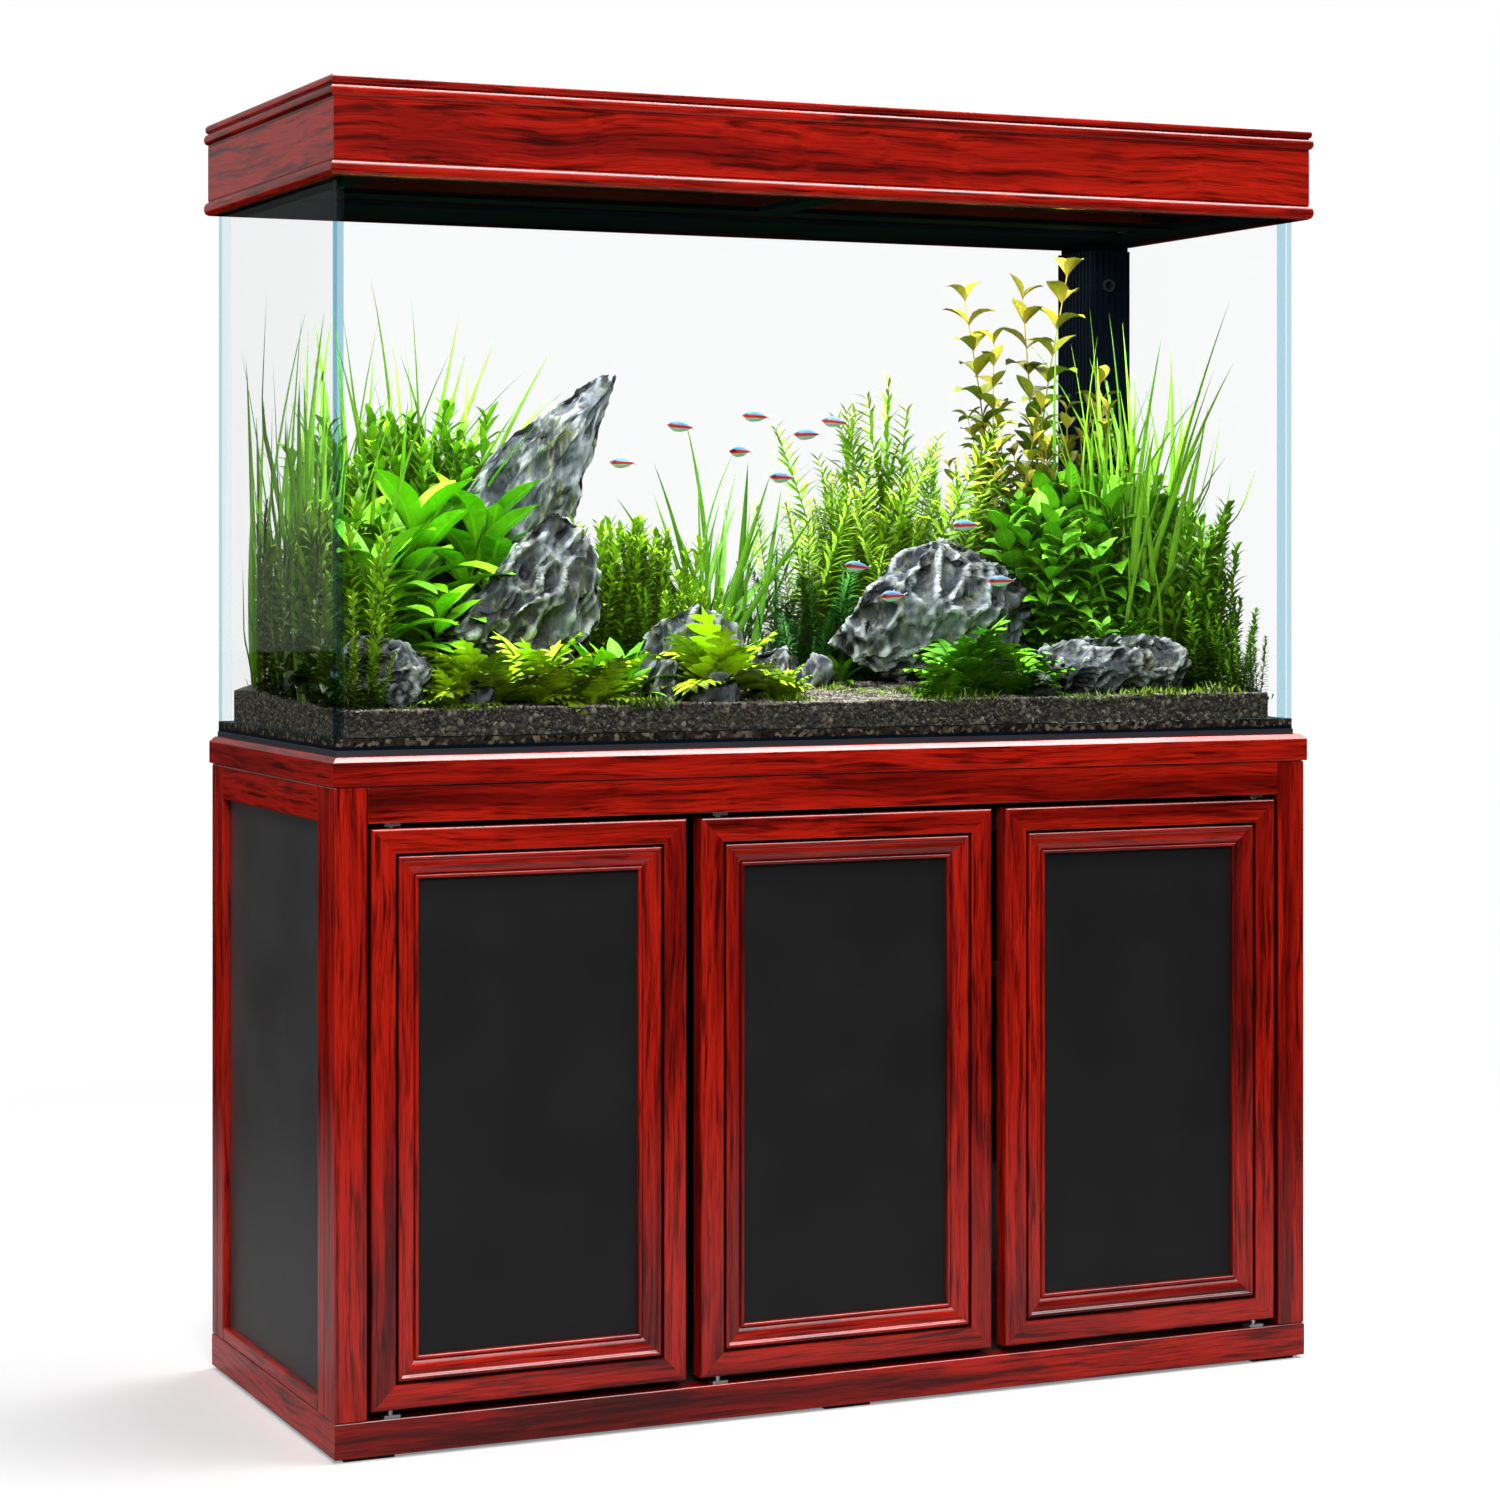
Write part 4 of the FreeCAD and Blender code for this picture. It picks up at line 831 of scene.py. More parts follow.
class AQUARIUM_OT_soil(bpy.types.Operator):
    """Soil bed with loose grains on top and against the glass, and a pale gravel path"""
    bl_idname = "aquarium.soil"
    bl_label = "Soil and gravel"

    def execute(self, context):
        luck = random.Random(11)
        dark = keep("dark_soil", make_soil_look, False)
        pale = keep("pale_gravel", make_soil_look, True)
        low, high = Vector(SOIL_LOW), Vector(SOIL_HIGH)
        margin = Vector((0.0022, 0.0022, 0))
        low += margin
        high -= margin
        bpy.ops.mesh.primitive_grid_add(x_subdivisions=230, y_subdivisions=84, size=1,
                                        location=((low.x + high.x) / 2, (low.y + high.y) / 2, 0))
        bed = bpy.context.object
        bed.scale = (high.x - low.x, high.y - low.y, 1)
        settle(bed)
        bpy.ops.object.mode_set(mode="EDIT")
        bpy.ops.mesh.select_all(action="SELECT")
        bpy.ops.mesh.extrude_region_move(TRANSFORM_OT_translate={"value": (0, 0, 1)})
        bpy.ops.object.mode_set(mode="OBJECT")
        for point in bed.data.vertices:
            co = point.co
            rough = 0.0016 * noise.noise(co * 260) + 0.0010 * noise.noise(co * 610)
            co.z = ground(co.x, co.y) + rough if co.z > 0.5 else SOIL_LOW.z + GLASS_GAP
        select_only(bed)
        bpy.ops.object.mode_set(mode="EDIT")
        bpy.ops.mesh.select_all(action="SELECT")
        bpy.ops.mesh.normals_make_consistent(inside=False)
        bpy.ops.object.mode_set(mode="OBJECT")
        bed.name = "soil_and_path"
        bed.data.materials.append(dark)
        bed.data.materials.append(pale)
        for face in bed.data.polygons:
            x, y, _ = face.center
            reach = abs(x - 0.05 - 0.5 * (y + 0.10)) / 0.15 + 0.35 * noise.noise(face.center * 30)
            on_path = face.normal.z > 0.3 and reach < 1 and y < 0.05
            face.material_index = 1 if on_path or (face.normal.z > 0.3 and y < -0.185) else 0
        shade(bed, 60)
        keep_inside(bed)
        fit(bed, "cabinet", "soil", "soil_bed")
        self.scatter(luck, low, high)
        return {"FINISHED"}

    def handful(self, luck, count, size, reach, look):
        """A flat handful of small angular grains."""
        grains = []
        for _ in range(count):
            bpy.ops.mesh.primitive_ico_sphere_add(subdivisions=1, radius=1)
            grain = bpy.context.object
            grain.scale = [size * luck.uniform(0.45, 1.25) for _ in range(3)]
            grain.rotation_euler = [luck.uniform(0, 6.28) for _ in range(3)]
            grain.location = (luck.uniform(-1, 1) * reach[0], luck.uniform(-1, 1) * reach[1], 0)
            write(grain, "tint", luck.random() ** 1.6)
            grains.append(grain)
        made = join("handful", grains)
        made.data.materials.append(look)
        return made

    def scatter(self, luck, low, high):
        brown = keep("soil_grains", make_grain_look, (0.010, 0.008, 0.006, 1), (0.17, 0.14, 0.09, 1))
        sand = keep("sand_grains", make_grain_look, (0.16, 0.135, 0.10, 1), (0.72, 0.68, 0.60, 1))
        soil_lots = [self.handful(luck, 56, 0.0024, (0.030, 0.014), brown) for _ in range(3)]
        sand_lots = [self.handful(luck, 70, 0.0016, (0.026, 0.016), sand) for _ in range(3)]
        stones = []
        steps = 22
        for k in range(steps):
            x = low.x + (high.x - low.x) * (k + 0.5) / steps
            middle_z = (SOIL_LOW.z + ground(x, low.y)) / 2
            upright = axes(Vector((1, 0, 0)), Vector((0, 0, 1)), Vector((0, -1, 0)),
                           Vector((x, low.y, middle_z)))
            flip = Matrix.Rotation(math.pi * (k % 2), 4, "Z")
            stones.append(copy_of(luck.choice(soil_lots), upright @ flip))
            for row in range(3):
                y = low.y + 0.012 + 0.030 * row
                heap = sand_lots if row == 0 or abs(x - 0.08) < 0.19 else soil_lots
                spot = Matrix.Translation((x, y, ground(x, y) + 0.0003))
                lot = luck.choice(heap)
                flip = Matrix.Rotation(math.pi * luck.randint(0, 1), 4, "Z")
                stones.append(copy_of(lot, spot @ flip))
        for k in range(8):
            y = low.y + 0.02 + (high.y - low.y - 0.04) * (k + 0.5) / 8
            middle_z = (SOIL_LOW.z + ground(low.x, y)) / 2
            upright = axes(Vector((0, 1, 0)), Vector((0, 0, 1)), Vector((1, 0, 0)),
                           Vector((low.x, y, middle_z)))
            stones.append(copy_of(luck.choice(soil_lots), upright))
        for _ in range(46):
            y = luck.uniform(-0.12, 0.03)
            x = 0.05 + 0.5 * (y + 0.10) + luck.uniform(-0.13, 0.13)
            spot = Matrix.Translation((x, y, ground(x, y) + 0.0003))
            lot = luck.choice(sand_lots)
            stones.append(copy_of(lot, spot @ Matrix.Rotation(luck.uniform(0, 6.28), 4, "Z")))
        discard(*soil_lots, *sand_lots)
        grains = join("loose_grains", stones)
        keep_inside(grains)
        fit(grains, "cabinet", "soil")


def make_rock_look(name):
    """Blue-grey stone with painted highlights on the ridges and painted shade in the pits and nooks, fine
    bedding lines and rusty veins.
    """
    material, tree = blank(name)
    place = coordinates(tree)
    edge = node(tree, "ShaderNodeNewGeometry").outputs["Pointiness"]
    patches = grain_noise(tree, place, 14, 4, roughness=0.6).outputs["Fac"]
    body = ramp(tree, patches, [(0.36, (0.012, 0.018, 0.026, 1)), (0.50, (0.046, 0.060, 0.075, 1)),
                                (0.64, (0.140, 0.168, 0.185, 1))])
    slanted = node(tree, "ShaderNodeMapping", {"Vector": place, "Rotation": (0.3, 0.9, 0.2),
                                               "Scale": (1.0, 1.0, 0.22)}).outputs["Vector"]
    beds = grain_noise(tree, slanted, 210, 4, roughness=0.65).outputs["Fac"]
    tone = blend(tree, 0.75, body, ramp(tree, beds, [(0.32, 0.42), (0.52, 0.85), (0.68, 1.0)]), "MULTIPLY")
    veins = grain_noise(tree, slanted, 22, 3, distortion=1.2).outputs["Fac"]
    rust = ramp(tree, veins, [(0.480, 0.0), (0.500, 0.60), (0.520, 0.0)])
    tone = blend(tree, rust, tone, (0.155, 0.170, 0.040, 1))
    # Painted highlight: sharp ridges are blended towards pale grey, standing in for light catching them.
    painted_ridge_highlight = ramp(tree, edge, [(0.51, 0.0), (0.585, 0.85)])
    tone = blend(tree, painted_ridge_highlight, tone, (0.42, 0.46, 0.46, 1))
    # Painted shade: hollows are darkened by their curvature.
    painted_pit_shade = ramp(tree, edge, [(0.42, 0.08), (0.50, 1.0)])
    tone = blend(tree, 1.0, tone, painted_pit_shade, "MULTIPLY")
    # Painted shade in nooks by ambient occlusion, and painted light that brightens the most open places.
    painted_occlusion = node(tree, "ShaderNodeAmbientOcclusion", {"Distance": 0.022}, samples=6).outputs["AO"]
    tone = blend(tree, 1.0, tone, ramp(tree, painted_occlusion, [(0.34, 0.04), (0.74, 1.0), (0.95, 1.25)]), "MULTIPLY")
    cups = node(tree, "ShaderNodeTexVoronoi", {"Vector": slanted, "Scale": 95.0}).outputs["Distance"]
    relief = maths(tree, "MULTIPLY_ADD", cups, 0.9, beds)
    surface = node(tree, "ShaderNodeBsdfPrincipled", {
        "Base Color": tone, "Roughness": 0.55, "Normal": bump(tree, relief, 1.0, 0.0040)})
    finish_with(tree, surface)
    return material


def texture(name, kind, **settings):
    made = bpy.data.textures.new(name, kind)
    for key, value in settings.items():
        setattr(made, key, value)
    return made


# Each rock: x span, y span, top, how far the top leans to the right, how much the right is higher, fineness.
ROCKS = (
    ((-0.484, -0.304), (0.060, 0.125), 1.168, 0.212, 0.20, 6),
    ((-0.450, -0.236), (-0.104, -0.015), 0.958, 0.004, 0.95, 6),
    ((-0.562, -0.448), (-0.176, -0.095), 0.868, -0.010, -0.20, 6),
    ((-0.184, -0.064), (-0.096, -0.036), 0.905, 0.010, -0.10, 5),
    ((0.082, 0.325), (-0.096, 0.014), 0.972, 0.000, 0.10, 6),
    ((0.284, 0.510), (-0.182, -0.098), 0.862, 0.000, 0.00, 6),
    ((-0.440, -0.396), (-0.194, -0.160), 0.822, 0.0, 0.0, 4),
    ((-0.216, -0.160), (-0.164, -0.116), 0.842, 0.006, 0.3, 5),
    ((-0.164, -0.096), (-0.194, -0.160), 0.824, 0.0, 0.0, 4),
    ((-0.060, 0.012), (-0.100, -0.056), 0.850, 0.0, 0.2, 5),
    ((0.262, 0.296), (-0.194, -0.170), 0.820, 0.0, 0.0, 4),
    ((0.030, 0.086), (-0.052, -0.010), 0.840, 0.0, 0.0, 4),
    ((0.160, 0.214), (-0.152, -0.122), 0.828, 0.0, 0.2, 4),
)


class AQUARIUM_OT_rocks(bpy.types.Operator):
    """Faceted, pitted rocks, from a tall leaning slab down to pebbles"""
    bl_idname = "aquarium.rocks"
    bl_label = "Rocks"

    def execute(self, context):
        luck = random.Random(5)
        look = keep("pitted_stone", make_rock_look)
        textures = (texture("rock_cups", "VORONOI", noise_scale=0.038, noise_intensity=3.4,
                            weight_1=-1, weight_2=1),
                    texture("rock_pits", "VORONOI", noise_scale=0.013, noise_intensity=3.0,
                            weight_1=-1, weight_2=1),
                    texture("rock_ridges", "MUSGRAVE", noise_scale=0.034,
                            musgrave_type="RIDGED_MULTIFRACTAL"),
                    texture("rock_grit", "CLOUDS", noise_scale=0.005, noise_depth=3))
        bpy.ops.object.empty_add(rotation=(0.2, math.radians(-52), 0.4))
        bedding = bpy.context.object
        bedding.scale = (1.7, 1.0, 0.85)
        groups = {"big_rocks": [], "small_rocks": []}
        for x, y, top, lean, wedge, fineness in ROCKS:
            rock = self.make_rock(luck, x, y, top, lean, wedge, fineness, textures, bedding)
            rock.data.materials.append(look)
            groups["big_rocks" if fineness == 6 else "small_rocks"].append(rock)
        bpy.data.objects.remove(bedding)
        for name, rocks in groups.items():
            piece = join(name, rocks)
            shade(piece, 40)
            keep_inside(piece)
            fit(piece, "cabinet", "rock", "rocks")
        return {"FINISHED"}

    def make_rock(self, luck, x, y, top, lean, wedge, fineness, textures, bedding):
        """A block with flat facets, then narrowed, leaned, and worn by the textures."""
        foot = ground((x[0] + x[1]) / 2, (y[0] + y[1]) / 2) - 0.012
        size = Vector((x[1] - x[0], y[1] - y[0], (top - foot)))
        facets = []
        for _ in range(17):
            way = Vector((luck.gauss(0, 1), luck.gauss(0, 1), luck.gauss(0, 1))).normalized()
            facets.append((way, luck.uniform(0.40, 0.50)))
        bpy.ops.mesh.primitive_ico_sphere_add(subdivisions=fineness, radius=0.5)
        rock = bpy.context.object
        for point in rock.data.vertices:
            way = point.co.normalized()
            reach = min([0.58] + [far / max(0.05, side.dot(way)) for side, far in facets])
            co = way * reach
            share = min(1, max(0, co.z + 0.5))
            narrow = 1.08 - 0.30 * share * share
            tall = 1 + wedge * co.x * share
            point.co = (co.x * size.x * narrow + lean * share, co.y * size.y * narrow, share * size.z * tall)
        rock.location = ((x[0] + x[1]) / 2, (y[0] + y[1]) / 2, foot)
        settle(rock)
        scale = min(1.0, min(size) / 0.085)
        for kind, strength in zip(textures, (-0.0135, -0.0052, 0.0050, 0.0016)):
            modify(rock, "DISPLACE", texture=kind, strength=strength * scale,
                   mid_level=0.5 if strength > 0 else 0.0,
                   texture_coords="OBJECT", texture_coords_object=bedding, direction="NORMAL")
        return rock


# ------------------------------------------------------------------ plants
def outline(share, root, widest):
    """Half width of a leaf, from 0 to 1, at a share of its length."""
    if share < widest:
        return root + (1 - root) * math.sin(share / widest * math.pi / 2) ** 1.3
    return max(0.02, math.cos((share - widest) / (1 - widest) * math.pi / 2) ** 0.85)


def leaf(length, width, arch, fold=0.25, root=0.15, widest=0.45, rows=5, columns=2, ruffle=0.0):
    """A leaf whose root is at the origin: it rises along Z and arches over towards Y."""
    bpy.ops.mesh.primitive_grid_add(x_subdivisions=columns, y_subdivisions=rows, size=1)
    piece = bpy.context.object
    ribs, reaches = [], []
    for point in piece.data.vertices:
        across, share = point.co.x * 2, point.co.y + 0.5
        half = width / 2 * outline(share, root, widest)
        turn = arch * share
        run = length * (1 - math.cos(turn)) / arch
        rise = length * math.sin(turn) / arch
        lift = fold * abs(across) * half + ruffle * width * abs(across) * math.sin(share * 17 + across)
        point.co = (across * half, run - math.cos(turn) * lift, rise + math.sin(turn) * lift)
        ribs.append(abs(across))
        reaches.append(share)
    write(piece, "rib", ribs)
    write(piece, "reach", reaches)
    write(piece, "height", 0.5)
    write(piece, "tint", 0.5)
    return piece


def stem(height, radius, bend):
    """A thin stalk that bends towards X."""
    bpy.ops.mesh.primitive_cone_add(vertices=4, radius1=radius, radius2=radius * 0.45, depth=height,
                                    end_fill_type="NOTHING", location=(0, 0, height / 2))
    piece = bpy.context.object
    settle(piece)
    bpy.ops.object.mode_set(mode="EDIT")
    bpy.ops.mesh.select_all(action="SELECT")
    bpy.ops.mesh.subdivide(number_cuts=3)
    bpy.ops.object.mode_set(mode="OBJECT")
    shares = [point.co.z / height for point in piece.data.vertices]
    for point, share in zip(piece.data.vertices, shares):
        point.co.x += bend * share * share
    write(piece, "rib", 1.0)
    write(piece, "reach", 0.2)
    write(piece, "height", shares)
    write(piece, "tint", 0.15)
    return piece


def turned(heading, tilt, place=(0, 0, 0), size=1.0):
    """The matrix that scales a leaf, leans it by tilt, turns it to a heading and moves it."""
    return (Matrix.Translation(place) @ Matrix.Rotation(heading, 4, "Z") @ Matrix.Rotation(-tilt, 4, "X")
            @ Matrix.Scale(size, 4))


def shoot(luck, leaves, height, gap, per_node, tilt, size, bare=0.0, thick=0.0012, bend=0.02):
    """An upright stem with leaves in whorls; tilt and size run from the lowest whorl to the top one."""
    sway = luck.uniform(-bend, bend)
    parts = [stem(height, thick, sway)]
    count = max(2, int(height * (1 - bare) / gap))
    for k in range(count + 1):
        share = bare + (1 - bare) * k / count
        place = (sway * share * share, 0, height * share)
        heading = k * QUARTER_TURN + luck.uniform(-0.3, 0.3)
        for j in range(per_node):
            lean = tilt[0] + (tilt[1] - tilt[0]) * share ** 1.5 + luck.uniform(-0.12, 0.12)
            scale = (size[0] + (size[1] - size[0]) * share ** 2) * luck.uniform(0.85, 1.15)
            twin = copy_of(luck.choice(leaves),
                           turned(heading + j * FULL_TURN / per_node, lean, place, scale))
            write(twin, "height", share)
            write(twin, "tint", luck.random())
            parts.append(twin)
    return join("shoot", parts)


def rosette(luck, leaves, count, tilt, size, spread=0.006):
    """Leaves that fan out from one root, the inner ones upright and the outer ones low."""
    parts = []
    for k in range(count):
        share = k / max(1, count - 1)
        lean = tilt[0] + (tilt[1] - tilt[0]) * share + luck.uniform(-0.12, 0.12)
        heading = k * 2.39996 + luck.uniform(-0.25, 0.25)
        place = (spread * math.sin(heading) * -share, spread * math.cos(heading) * share, 0)
        scale = (size[0] + (size[1] - size[0]) * share) * luck.uniform(0.85, 1.15)
        twin = copy_of(luck.choice(leaves), turned(heading, lean, place, scale))
        write(twin, "height", 1 - 0.75 * share)
        write(twin, "tint", luck.random())
        parts.append(twin)
    return join("rosette", parts)


def make_leaf_look(name, deep, fresh, tip=None, tip_from=0.7, vein=0.35, gloss=0.34, shade_at=0.50):
    """Leaf green with painted shade towards the foot and in nooks, painted light on open leaves and a faint
    painted glow, with a pale midrib, side veins and an optional tip colour.
    """
    material, tree = blank(name)
    tint, rib, reach = stored(tree, "tint"), stored(tree, "rib"), stored(tree, "reach")
    height = stored(tree, "height")
    speck = grain_noise(tree, coordinates(tree), 90, 2).outputs["Fac"]
    youth = maths(tree, "ADD", maths(tree, "MULTIPLY", tint, 0.55), maths(tree, "MULTIPLY", speck, 0.45))
    tone = ramp(tree, youth, [(0.22, deep + (1,)), (0.62, fresh + (1,))])
    if tip is not None:
        turn = maths(tree, "MULTIPLY_ADD", tint, 0.15, maths(tree, "MULTIPLY", height, 0.85))
        share = ramp(tree, turn, [(tip_from, 0.0), (min(1, tip_from + 0.25), 1.0)])
        tone = blend(tree, share, tone, tip + (1,))
    pale = tuple(min(1, c * 1.5 + 0.004) for c in fresh) + (1,)
    tone = blend(tree, ramp(tree, rib, [(0.02, vein), (0.16, 0.0)]), tone, pale)
    tone = blend(tree, ramp(tree, reach, [(0.0, 0.0), (1.0, 0.30)]), tone, pale)
    # Painted shade: leaves are darker towards the foot of each plant.
    foot = ramp(tree, height, [(0.0, 0.08), (shade_at, 1.0)])
    tone = blend(tree, 1.0, tone, foot, "MULTIPLY")
    # Painted shade in crowded nooks by ambient occlusion, and painted light on open leaves.
    painted_occlusion = node(tree, "ShaderNodeAmbientOcclusion", {"Distance": 0.030}, samples=4).outputs["AO"]
    tone = blend(tree, 1.0, tone, ramp(tree, painted_occlusion, [(0.10, 0.28), (0.45, 1.0), (0.90, 1.40)]), "MULTIPLY")
    lines = maths(tree, "SINE", maths(tree, "MULTIPLY_ADD", reach, 70.0, maths(tree, "MULTIPLY", rib, -9.0)))
    # The faint emission of the leaf's own colour is painted light, standing in for light that shines through
    # the leaves.
    surface = node(tree, "ShaderNodeBsdfPrincipled", {
        "Base Color": tone, "Roughness": gloss, "Normal": bump(tree, lines, 0.25, 0.0006),
        "Specular IOR Level": 0.45, "Emission Color": tone, "Emission Strength": 0.08})
    finish_with(tree, surface)
    return material


def bed_of(name, luck, sources, spots, look, node_name=None):
    """Plants copies of the sources at (x, y, heading, lean, lean heading, size) and joins them."""
    plants = []
    for x, y, heading, lean, towards, size in spots:
        foot = (Matrix.Translation((x, y, ground(x, y) - 0.003)) @ Matrix.Rotation(towards, 4, "Z")
                @ Matrix.Rotation(-lean, 4, "X") @ Matrix.Rotation(heading - towards, 4, "Z")
                @ Matrix.Scale(size, 4))
        plants.append(copy_of(luck.choice(sources), foot))
    discard(*sources)
    piece = join(name, plants)
    piece.data.materials.append(look)
    shade(piece, 60)
    keep_inside(piece)
    fit(piece, "cabinet", "plant", *([node_name] if node_name else []))
    return piece


def spread(luck, count, x, y, size, lean=(0.0, 0.15), towards=None):
    """Random planting spots in a patch; towards fixes the way in which they lean."""
    spots = []
    for _ in range(count):
        way = luck.uniform(0, FULL_TURN) if towards is None else towards + luck.uniform(-0.5, 0.5)
        spots.append((luck.uniform(*x), luck.uniform(*y), luck.uniform(0, FULL_TURN),
                      luck.uniform(*lean), way, luck.uniform(*size)))
    return spots


TO_RIGHT, TO_LEFT, TO_FRONT = -QUARTER_TURN, QUARTER_TURN, 2 * QUARTER_TURN


class AQUARIUM_OT_grasses(bpy.types.Operator):
    """Tall ribbon-leaved grasses at the left, the back, the middle and the right"""
    bl_idname = "aquarium.grasses"
    bl_label = "Tall grasses"

    def blades(self, lengths, width, arch):
        return [leaf(length, width, bend, 0.5, 0.55, 0.25, rows=11)
                for length in lengths for bend in arch]

    def execute(self, context):
        luck = random.Random(21)
        grass = keep("grass_green", make_leaf_look, (0.014, 0.070, 0.004), (0.095, 0.270, 0.012), vein=0.5)
        bright = keep("bright_grass", make_leaf_look, (0.030, 0.130, 0.006), (0.170, 0.400, 0.018), vein=0.5)
        left = self.blades((0.30, 0.40, 0.50), 0.0105, (0.10, 0.25, 0.45))
        spots = spread(luck, 90, (-0.574, -0.490), (-0.02, 0.20), (0.45, 0.84), (0.0, 0.10))
        spots += spread(luck, 16, (-0.560, -0.480), (0.10, 0.20), (0.84, 0.95), (0.0, 0.05))
        bed_of("left_grass", luck, left, spots, bright, "tall_plants")
        fan = self.blades((0.32, 0.42, 0.50), 0.0135, (0.15, 0.35, 0.70))
        spots = spread(luck, 50, (-0.480, -0.400), (0.10, 0.20), (0.50, 0.86), (0.0, 0.16))
        spots += spread(luck, 64, (-0.420, -0.350), (0.12, 0.20), (0.55, 0.93), (0.08, 0.40), TO_RIGHT)
        bed_of("back_grass", luck, fan, spots, bright)
        middle = self.blades((0.22, 0.30, 0.34), 0.0105, (0.20, 0.45, 0.80))
        spots = spread(luck, 20, (-0.080, -0.010), (0.05, 0.12), (0.50, 0.92), (0.05, 0.40), TO_LEFT)
        spots += spread(luck, 40, (-0.075, 0.010), (0.04, 0.12), (0.40, 0.95), (0.05, 0.65), TO_RIGHT)
        bed_of("middle_grass", luck, middle, spots, grass)
        right = self.blades((0.30, 0.40, 0.50), 0.0120, (0.20, 0.45, 0.80))
        spots = spread(luck, 130, (0.440, 0.530), (-0.08, 0.06), (0.42, 0.86), (0.0, 0.16))
        spots += spread(luck, 50, (0.460, 0.540), (-0.08, 0.05), (0.70, 0.98), (0.03, 0.20), TO_RIGHT)
        bed_of("right_grass", luck, right, spots, bright)
        return {"FINISHED"}


class AQUARIUM_OT_stems(bpy.types.Operator):
    """Stem plants: fine-leaved, feathery, round-leaved and broad-leaved"""
    bl_idname = "aquarium.stems"
    bl_label = "Stem plants"

    def execute(self, context):
        luck = random.Random(34)
        self.fine_stems(luck)
        self.feathers(luck)
        self.round_leaves(luck)
        self.broad_leaves(luck)
        return {"FINISHED"}

    def fine_stems(self, luck):
        green = keep("stem_green", make_leaf_look, (0.026, 0.115, 0.004), (0.170, 0.420, 0.010), None, 1, 0.3)
        lime = keep("stem_lime", make_leaf_look, (0.055, 0.170, 0.004), (0.260, 0.500, 0.010), None, 1, 0.3)
        for name, look, patches in (
                ("left_stems", lime, ((90, (-0.574, -0.500), (-0.14, 0.12), (0.45, 1.05)),
                                       (24, (-0.574, -0.520), (-0.20, -0.12), (0.20, 0.60)))),
                ("back_stems", green, ((70, (-0.480, -0.330), (0.10, 0.18), (0.80, 1.42)),)),
                ("middle_stems", lime, ((80, (-0.215, -0.085), (0.00, 0.07), (0.45, 0.86)),
                                        (30, (-0.160, -0.050), (-0.05, 0.01), (0.25, 0.55)))),
                ("right_stems", green, ((70, (0.505, 0.574), (-0.14, -0.02), (0.35, 1.10)),
                                        (24, (0.490, 0.560), (0.02, 0.10), (0.70, 1.20)),
                                        (40, (0.530, 0.575), (-0.20, -0.12), (0.12, 0.50))))):
            leaves = [leaf(0.026, 0.0100, bend, 0.3, 0.2, 0.5, rows=3) for bend in (0.3, 0.6, 1.0)]
            shoots = [shoot(luck, leaves, 0.205, 0.0092, 3, (1.05, 0.35), (1.05, 0.80)) for _ in range(4)]
            discard(*leaves)
            spots = []
            for count, x, y, size in patches:
                spots += spread(luck, count, x, y, size, (0.0, 0.30))
            bed_of(name, luck, shoots, spots, look, "bushy_plants")

    def feathers(self, luck):
        green = keep("feather_green", make_leaf_look, (0.045, 0.170, 0.005), (0.260, 0.500, 0.012),
                     (0.240, 0.150, 0.035), 0.80, 0.2)
        teal = keep("feather_teal", make_leaf_look, (0.008, 0.065, 0.010), (0.050, 0.240, 0.025), vein=0.2)
        for name, look, count_patches in (
                ("back_feathers", green, ((34, (0.075, 0.200), (0.04, 0.15), (0.50, 0.92)),
                                          (56, (0.170, 0.360), (0.04, 0.16), (0.60, 1.08)),
                                          (9, (0.130, 0.300), (0.08, 0.14), (1.10, 1.30)))),
                ("low_feathers", teal, ((36, (0.010, 0.130), (0.00, 0.08), (0.30, 0.66)),
                                        (18, (0.040, 0.150), (-0.03, 0.03), (0.22, 0.45))))):
            needles = [leaf(0.034, 0.0066, bend, 0.2, 0.4, 0.4, rows=2, columns=1)
                       for bend in (0.15, 0.35, 0.6)]
            shoots = [shoot(luck, needles, 0.260, 0.0085, 4, (1.25, 0.75), (1.35, 0.45), bend=0.05)
                      for _ in range(4)]
            discard(*needles)
            spots = []
            for count, x, y, size in count_patches:
                spots += spread(luck, count, x, y, size, (0.0, 0.42))
            bed_of(name, luck, shoots, spots, look, "tall_plants")

    def round_leaves(self, luck):
        look = keep("olive_leaves", make_leaf_look, (0.020, 0.080, 0.005), (0.130, 0.230, 0.012),
                    (0.200, 0.150, 0.014), 0.55, 0.45)
        leaves = [leaf(0.036, 0.0210, bend, 0.35, 0.12, 0.5, rows=5, columns=4) for bend in (0.4, 0.9, 1.3)]
        shoots = [shoot(luck, leaves, 0.400, 0.0270, 2, (1.05, 0.45), (1.30, 0.95), 0.10, 0.0018, 0.05)
                  for _ in range(4)]
        discard(*leaves)
        spots = [(0.385, 0.115, 0.4, 0.04, TO_LEFT, 1.12), (0.415, 0.120, 1.9, 0.04, TO_RIGHT, 1.20),
                 (0.430, 0.125, 3.2, 0.06, TO_RIGHT, 1.13), (0.480, 0.090, 0.9, 0.10, TO_RIGHT, 0.88),
                 (0.372, 0.100, 5.0, 0.06, TO_LEFT, 0.98)]
        spots += spread(luck, 44, (0.340, 0.500), (0.05, 0.13), (0.45, 0.80), (0.0, 0.20))
        bed_of("olive_stems", luck, shoots, spots, look)

